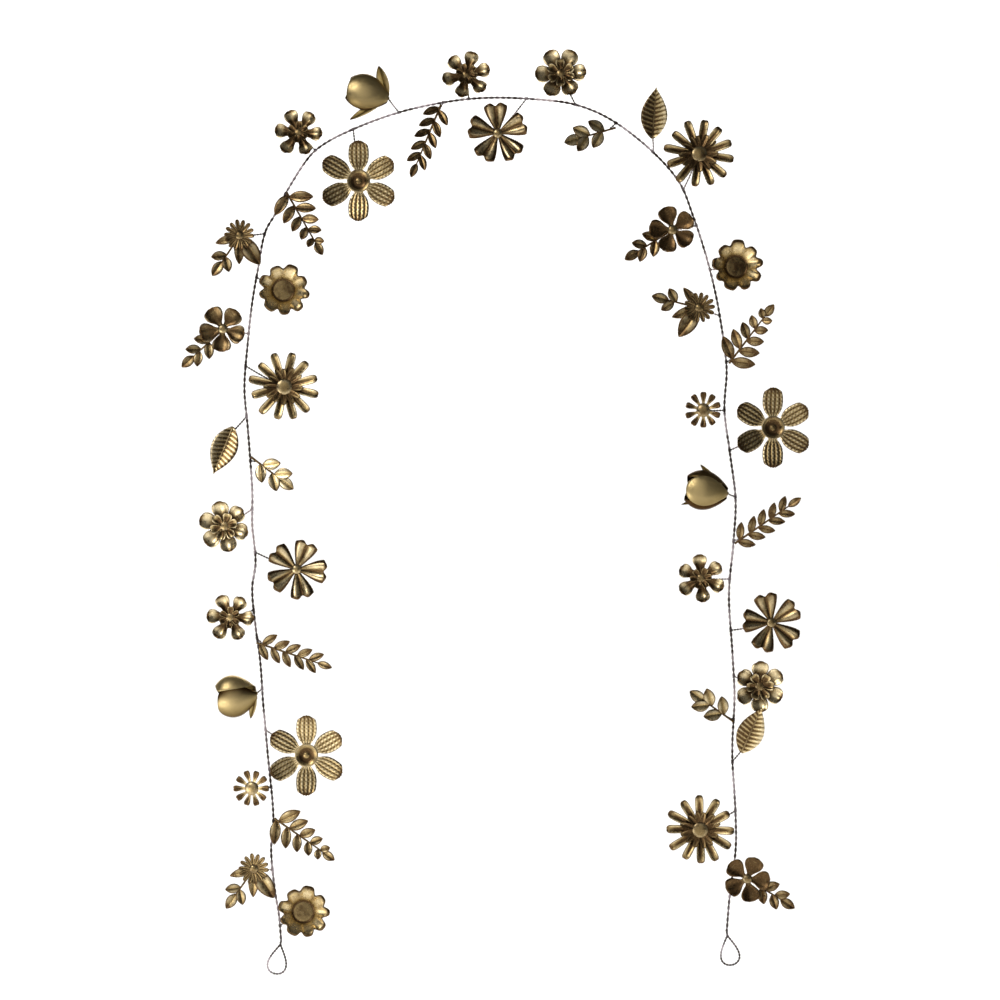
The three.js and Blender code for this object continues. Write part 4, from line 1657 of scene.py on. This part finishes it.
@dataclass(frozen=True)
class DarkWire:
    """Dark brown iron wire with pale lengths of painted highlight."""

    colour: Triple = (0.05, 0.036, 0.034)
    pale: Triple = (0.55, 0.48, 0.52)
    roughness: float = 0.3

    def make(self) -> bpy.types.Material:
        """Builds the material.

        Returns:
            The material.
        """
        metal = Finish("dark_iron_wire", metallic=0.9)
        metal.shader.inputs["Roughness"].default_value = self.roughness
        ramp = metal.nodes.new("ShaderNodeValToRGB")
        for stop, place, colour in zip(
            ramp.color_ramp.elements, (0.47, 0.6), (self.colour, self.pale)
        ):
            stop.position = place
            stop.color = (*colour, 1)
        # The noise lays the painted highlight in random lengths along the wire.
        metal.link(metal.noise(HIGHLIGHT_SCALE, 3), ramp.inputs["Fac"])
        metal.link(ramp.outputs["Color"], metal.shader.inputs["Base Color"])
        return metal.material


@dataclass
class Garland:
    """Every piece of the garland, placed and dressed."""

    finishes: dict[Slot, bpy.types.Material] = field(default_factory=dict)

    def seat(self, place: Place, pattern: Pattern, foot: Vector) -> Matrix:
        """The place of one piece in the arch.

        Args:
            place: the piece's place.
            pattern: the piece's pattern.
            foot: where its stem leaves the main wire, in metres.

        Returns:
            The matrix that carries the pattern there.
        """
        habit = HABITS[place.kind]
        centre = Vector((place.centre[0], BACK_PLANE, place.centre[1])) * MM
        if habit.nod:
            ahead = Vector((centre.x - foot.x, 0, centre.z - foot.z)).normalized()
            degrees = habit.nod
        else:
            ahead = heading(place.turn)
            degrees = -(place.lift or habit.lift)
        turn = place.tail if pattern.by_tail else place.turn + pattern.turn_by
        return (
            Matrix.Translation(centre)
            @ turned_by(degrees, Vector((0, -1, 0)).cross(ahead))
            @ turned_by(90, "X")
            @ moved_by(z=pattern.forward)
            @ turned_by(turn, "Z")
        )

    def dress(self, piece: Piece, slot: Slot, node: str) -> None:
        """Gives a placed piece its finish and its part in the frame.

        Args:
            piece: the piece.
            slot: its material slot.
            node: the node that it stands for.
        """
        piece.data.materials.clear()
        piece.data.materials.append(self.finishes[slot])
        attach(piece, "root")
        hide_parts(node)
        points = points_of(piece)
        off = np.abs(np.array([points.min(0), points.max(0)]) - np.array(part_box(node))).max()
        log.info(
            "%s: %d faces, corners within %.1f mm of %s",
            piece.name, len(piece.data.polygons), off / MM, node,
        )

    def build(self) -> None:
        """Builds the patterns once each, then sets and dresses a copy at every place."""
        self.finishes = {
            Slot.BRASS: Brass(
                "antiqued_brass", bright=(0.88, 0.73, 0.45), mid=(0.54, 0.40, 0.18),
                dark=(0.105, 0.062, 0.027), roughness=0.27, patina=0.85, edge=0.85, blotches=0.6,
                grain=0.25,
            ).make(),
            Slot.SATIN: Brass(
                "satin_gold", bright=(0.52, 0.40, 0.19), mid=(0.38, 0.28, 0.10),
                dark=(0.06, 0.03, 0.008), roughness=0.36, patina=0.3, edge=0.4, blotches=0.0,
                grain=0.05,
            ).make(),
            Slot.WIRE: DarkWire().make(),
        }
        route = centripetal(WIRE_ROUTE)
        built: dict[str, Piece] = {}
        counts: dict[Kind, int] = {}
        for index, place in enumerate(PLACES):
            counts[place.kind] = counts.get(place.kind, 0) + 1
            foot = route[foot_on(route, place)]
            for pattern in HABITS[place.kind].patterns:
                node = f"{pattern.node}_{counts[place.kind]}"
                source = node if place.bud else pattern.node
                if source not in built:
                    built[source] = pattern.build(place.bud) if place.bud else pattern.build()
                piece = copied(built[source], self.seat(place, pattern, foot))
                piece.name = f"{node}_dressed"
                # Painted shade: the pieces above the lower left side, over the arch and down the
                # right, are darkened as if less lit.
                darken(piece, 0.0 if index < LIT_PIECES else PAINTED_SHADE_TONE)
                self.dress(piece, pattern.slot, node)
        discard(built.values())
        for piece, node in Wires().build():
            smooth(piece, CAP_ANGLE)
            self.dress(piece, Slot.WIRE, node)


@dataclass(frozen=True)
class Studio:
    """The pale backdrop and floor, the soft lights and the camera, in metres."""

    aim_height: float = -0.3618
    distance: float = 3.0
    picture_width: float = 0.9
    floor_height: float = -0.95
    floor_size: Pair = (9, 4)
    floor_centre: float = -1.2
    bend_reach: float = 0.5
    wall_height: float = 3.2

    def build(self) -> None:
        """Builds the backdrop, the lights, the surround and the camera."""
        self.backdrop()
        self.light("low", (-0.7, -0.55, -0.9), 0.7, 3.8)
        self.light("front", (-0.6, -4.6, 0.4), 3.4, 21)
        self.light("window", (-1.6, -2.2, 1.1), 1.1, 26)
        self.light("wash", (0.0, 0.3, 1.5), 1.6, 62, aim=(0, 1.2, -0.5), mirrored=False)
        self.surround()
        self.camera()
        bpy.context.scene.view_settings.view_transform = "Standard"

    def backdrop(self) -> None:
        """A sheet that runs from the floor up behind the garland in one curve."""
        deselect()
        bpy.ops.mesh.primitive_plane_add(size=1, location=(0, 0, 0))
        sweep = bpy.context.object
        sweep.name = "studio_sweep"
        with editing(sweep):
            bpy.ops.mesh.select_all(action="SELECT")
            stretch(*self.floor_size, 1, (0, 0, 0))
            shift(y=self.floor_centre, z=self.floor_height)
            grip(sweep, lambda vert: vert.co.y > 0)
            step = self.bend_reach * math.sin(math.radians(10))
            for degrees in range(5, 86, 10):
                lift = step * math.sin(math.radians(degrees))
                back = step * math.cos(math.radians(degrees))
                bpy.ops.mesh.extrude_region_move(
                    TRANSFORM_OT_translate={"value": (0, back, lift)}
                )
            bpy.ops.mesh.extrude_region_move(
                TRANSFORM_OT_translate={"value": (0, 0, self.wall_height)}
            )
            face_outwards()
        bpy.ops.object.shade_smooth()
        paper = bpy.data.materials.new("studio_paper")
        paper.use_nodes = True
        shader = paper.node_tree.nodes["Principled BSDF"]
        shader.inputs["Base Color"].default_value = (0.93, 0.93, 0.93, 1)
        shader.inputs["Roughness"].default_value = 0.9
        sweep.data.materials.append(paper)

    def light(
        self, name: str, place: Triple, size: float, power: float,
        aim: Triple = (0, 0, -0.36), mirrored: bool = True,
    ) -> None:
        """One square soft light.

        Args:
            name: the light's name.
            place: where it stands.
            size: its side in metres.
            power: its strength in watts.
            aim: the point that it faces.
            mirrored: whether the metal mirrors it.
        """
        lamp = bpy.data.lights.new(name, "AREA")
        lamp.shape = "SQUARE"
        lamp.size = size
        lamp.energy = power
        lamp.color = (1, 0.98, 0.95)
        holder = bpy.data.objects.new(name, lamp)
        bpy.context.collection.objects.link(holder)
        holder.location = place
        holder.visible_glossy = mirrored
        towards = Vector(aim) - Vector(place)
        holder.rotation_euler = towards.to_track_quat("-Z", "Y").to_euler()

    def surround(self) -> None:
        """A dim even light from all sides."""
        world = bpy.data.worlds.new("surround")
        world.use_nodes = True
        world.node_tree.nodes["Background"].inputs["Color"].default_value = (1, 1, 1, 1)
        world.node_tree.nodes["Background"].inputs["Strength"].default_value = 0.1
        bpy.context.scene.world = world

    def camera(self) -> None:
        """The camera, straight in front, framed as the photograph is."""
        lens = bpy.data.cameras.new("camera")
        lens.sensor_width = 36
        lens.lens = lens.sensor_width * self.distance / self.picture_width
        holder = bpy.data.objects.new("camera", lens)
        bpy.context.collection.objects.link(holder)
        holder.location = (0, -self.distance, self.aim_height)
        holder.rotation_euler = (math.pi / 2, 0, 0)
        bpy.context.scene.camera = holder


def main() -> None:
    """Builds the garland and its studio."""
    logging.basicConfig(level=logging.INFO, format="%(message)s")
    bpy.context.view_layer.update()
    Garland().build()
    Studio().build()
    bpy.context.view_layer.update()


if __name__ == "__main__":
    main()
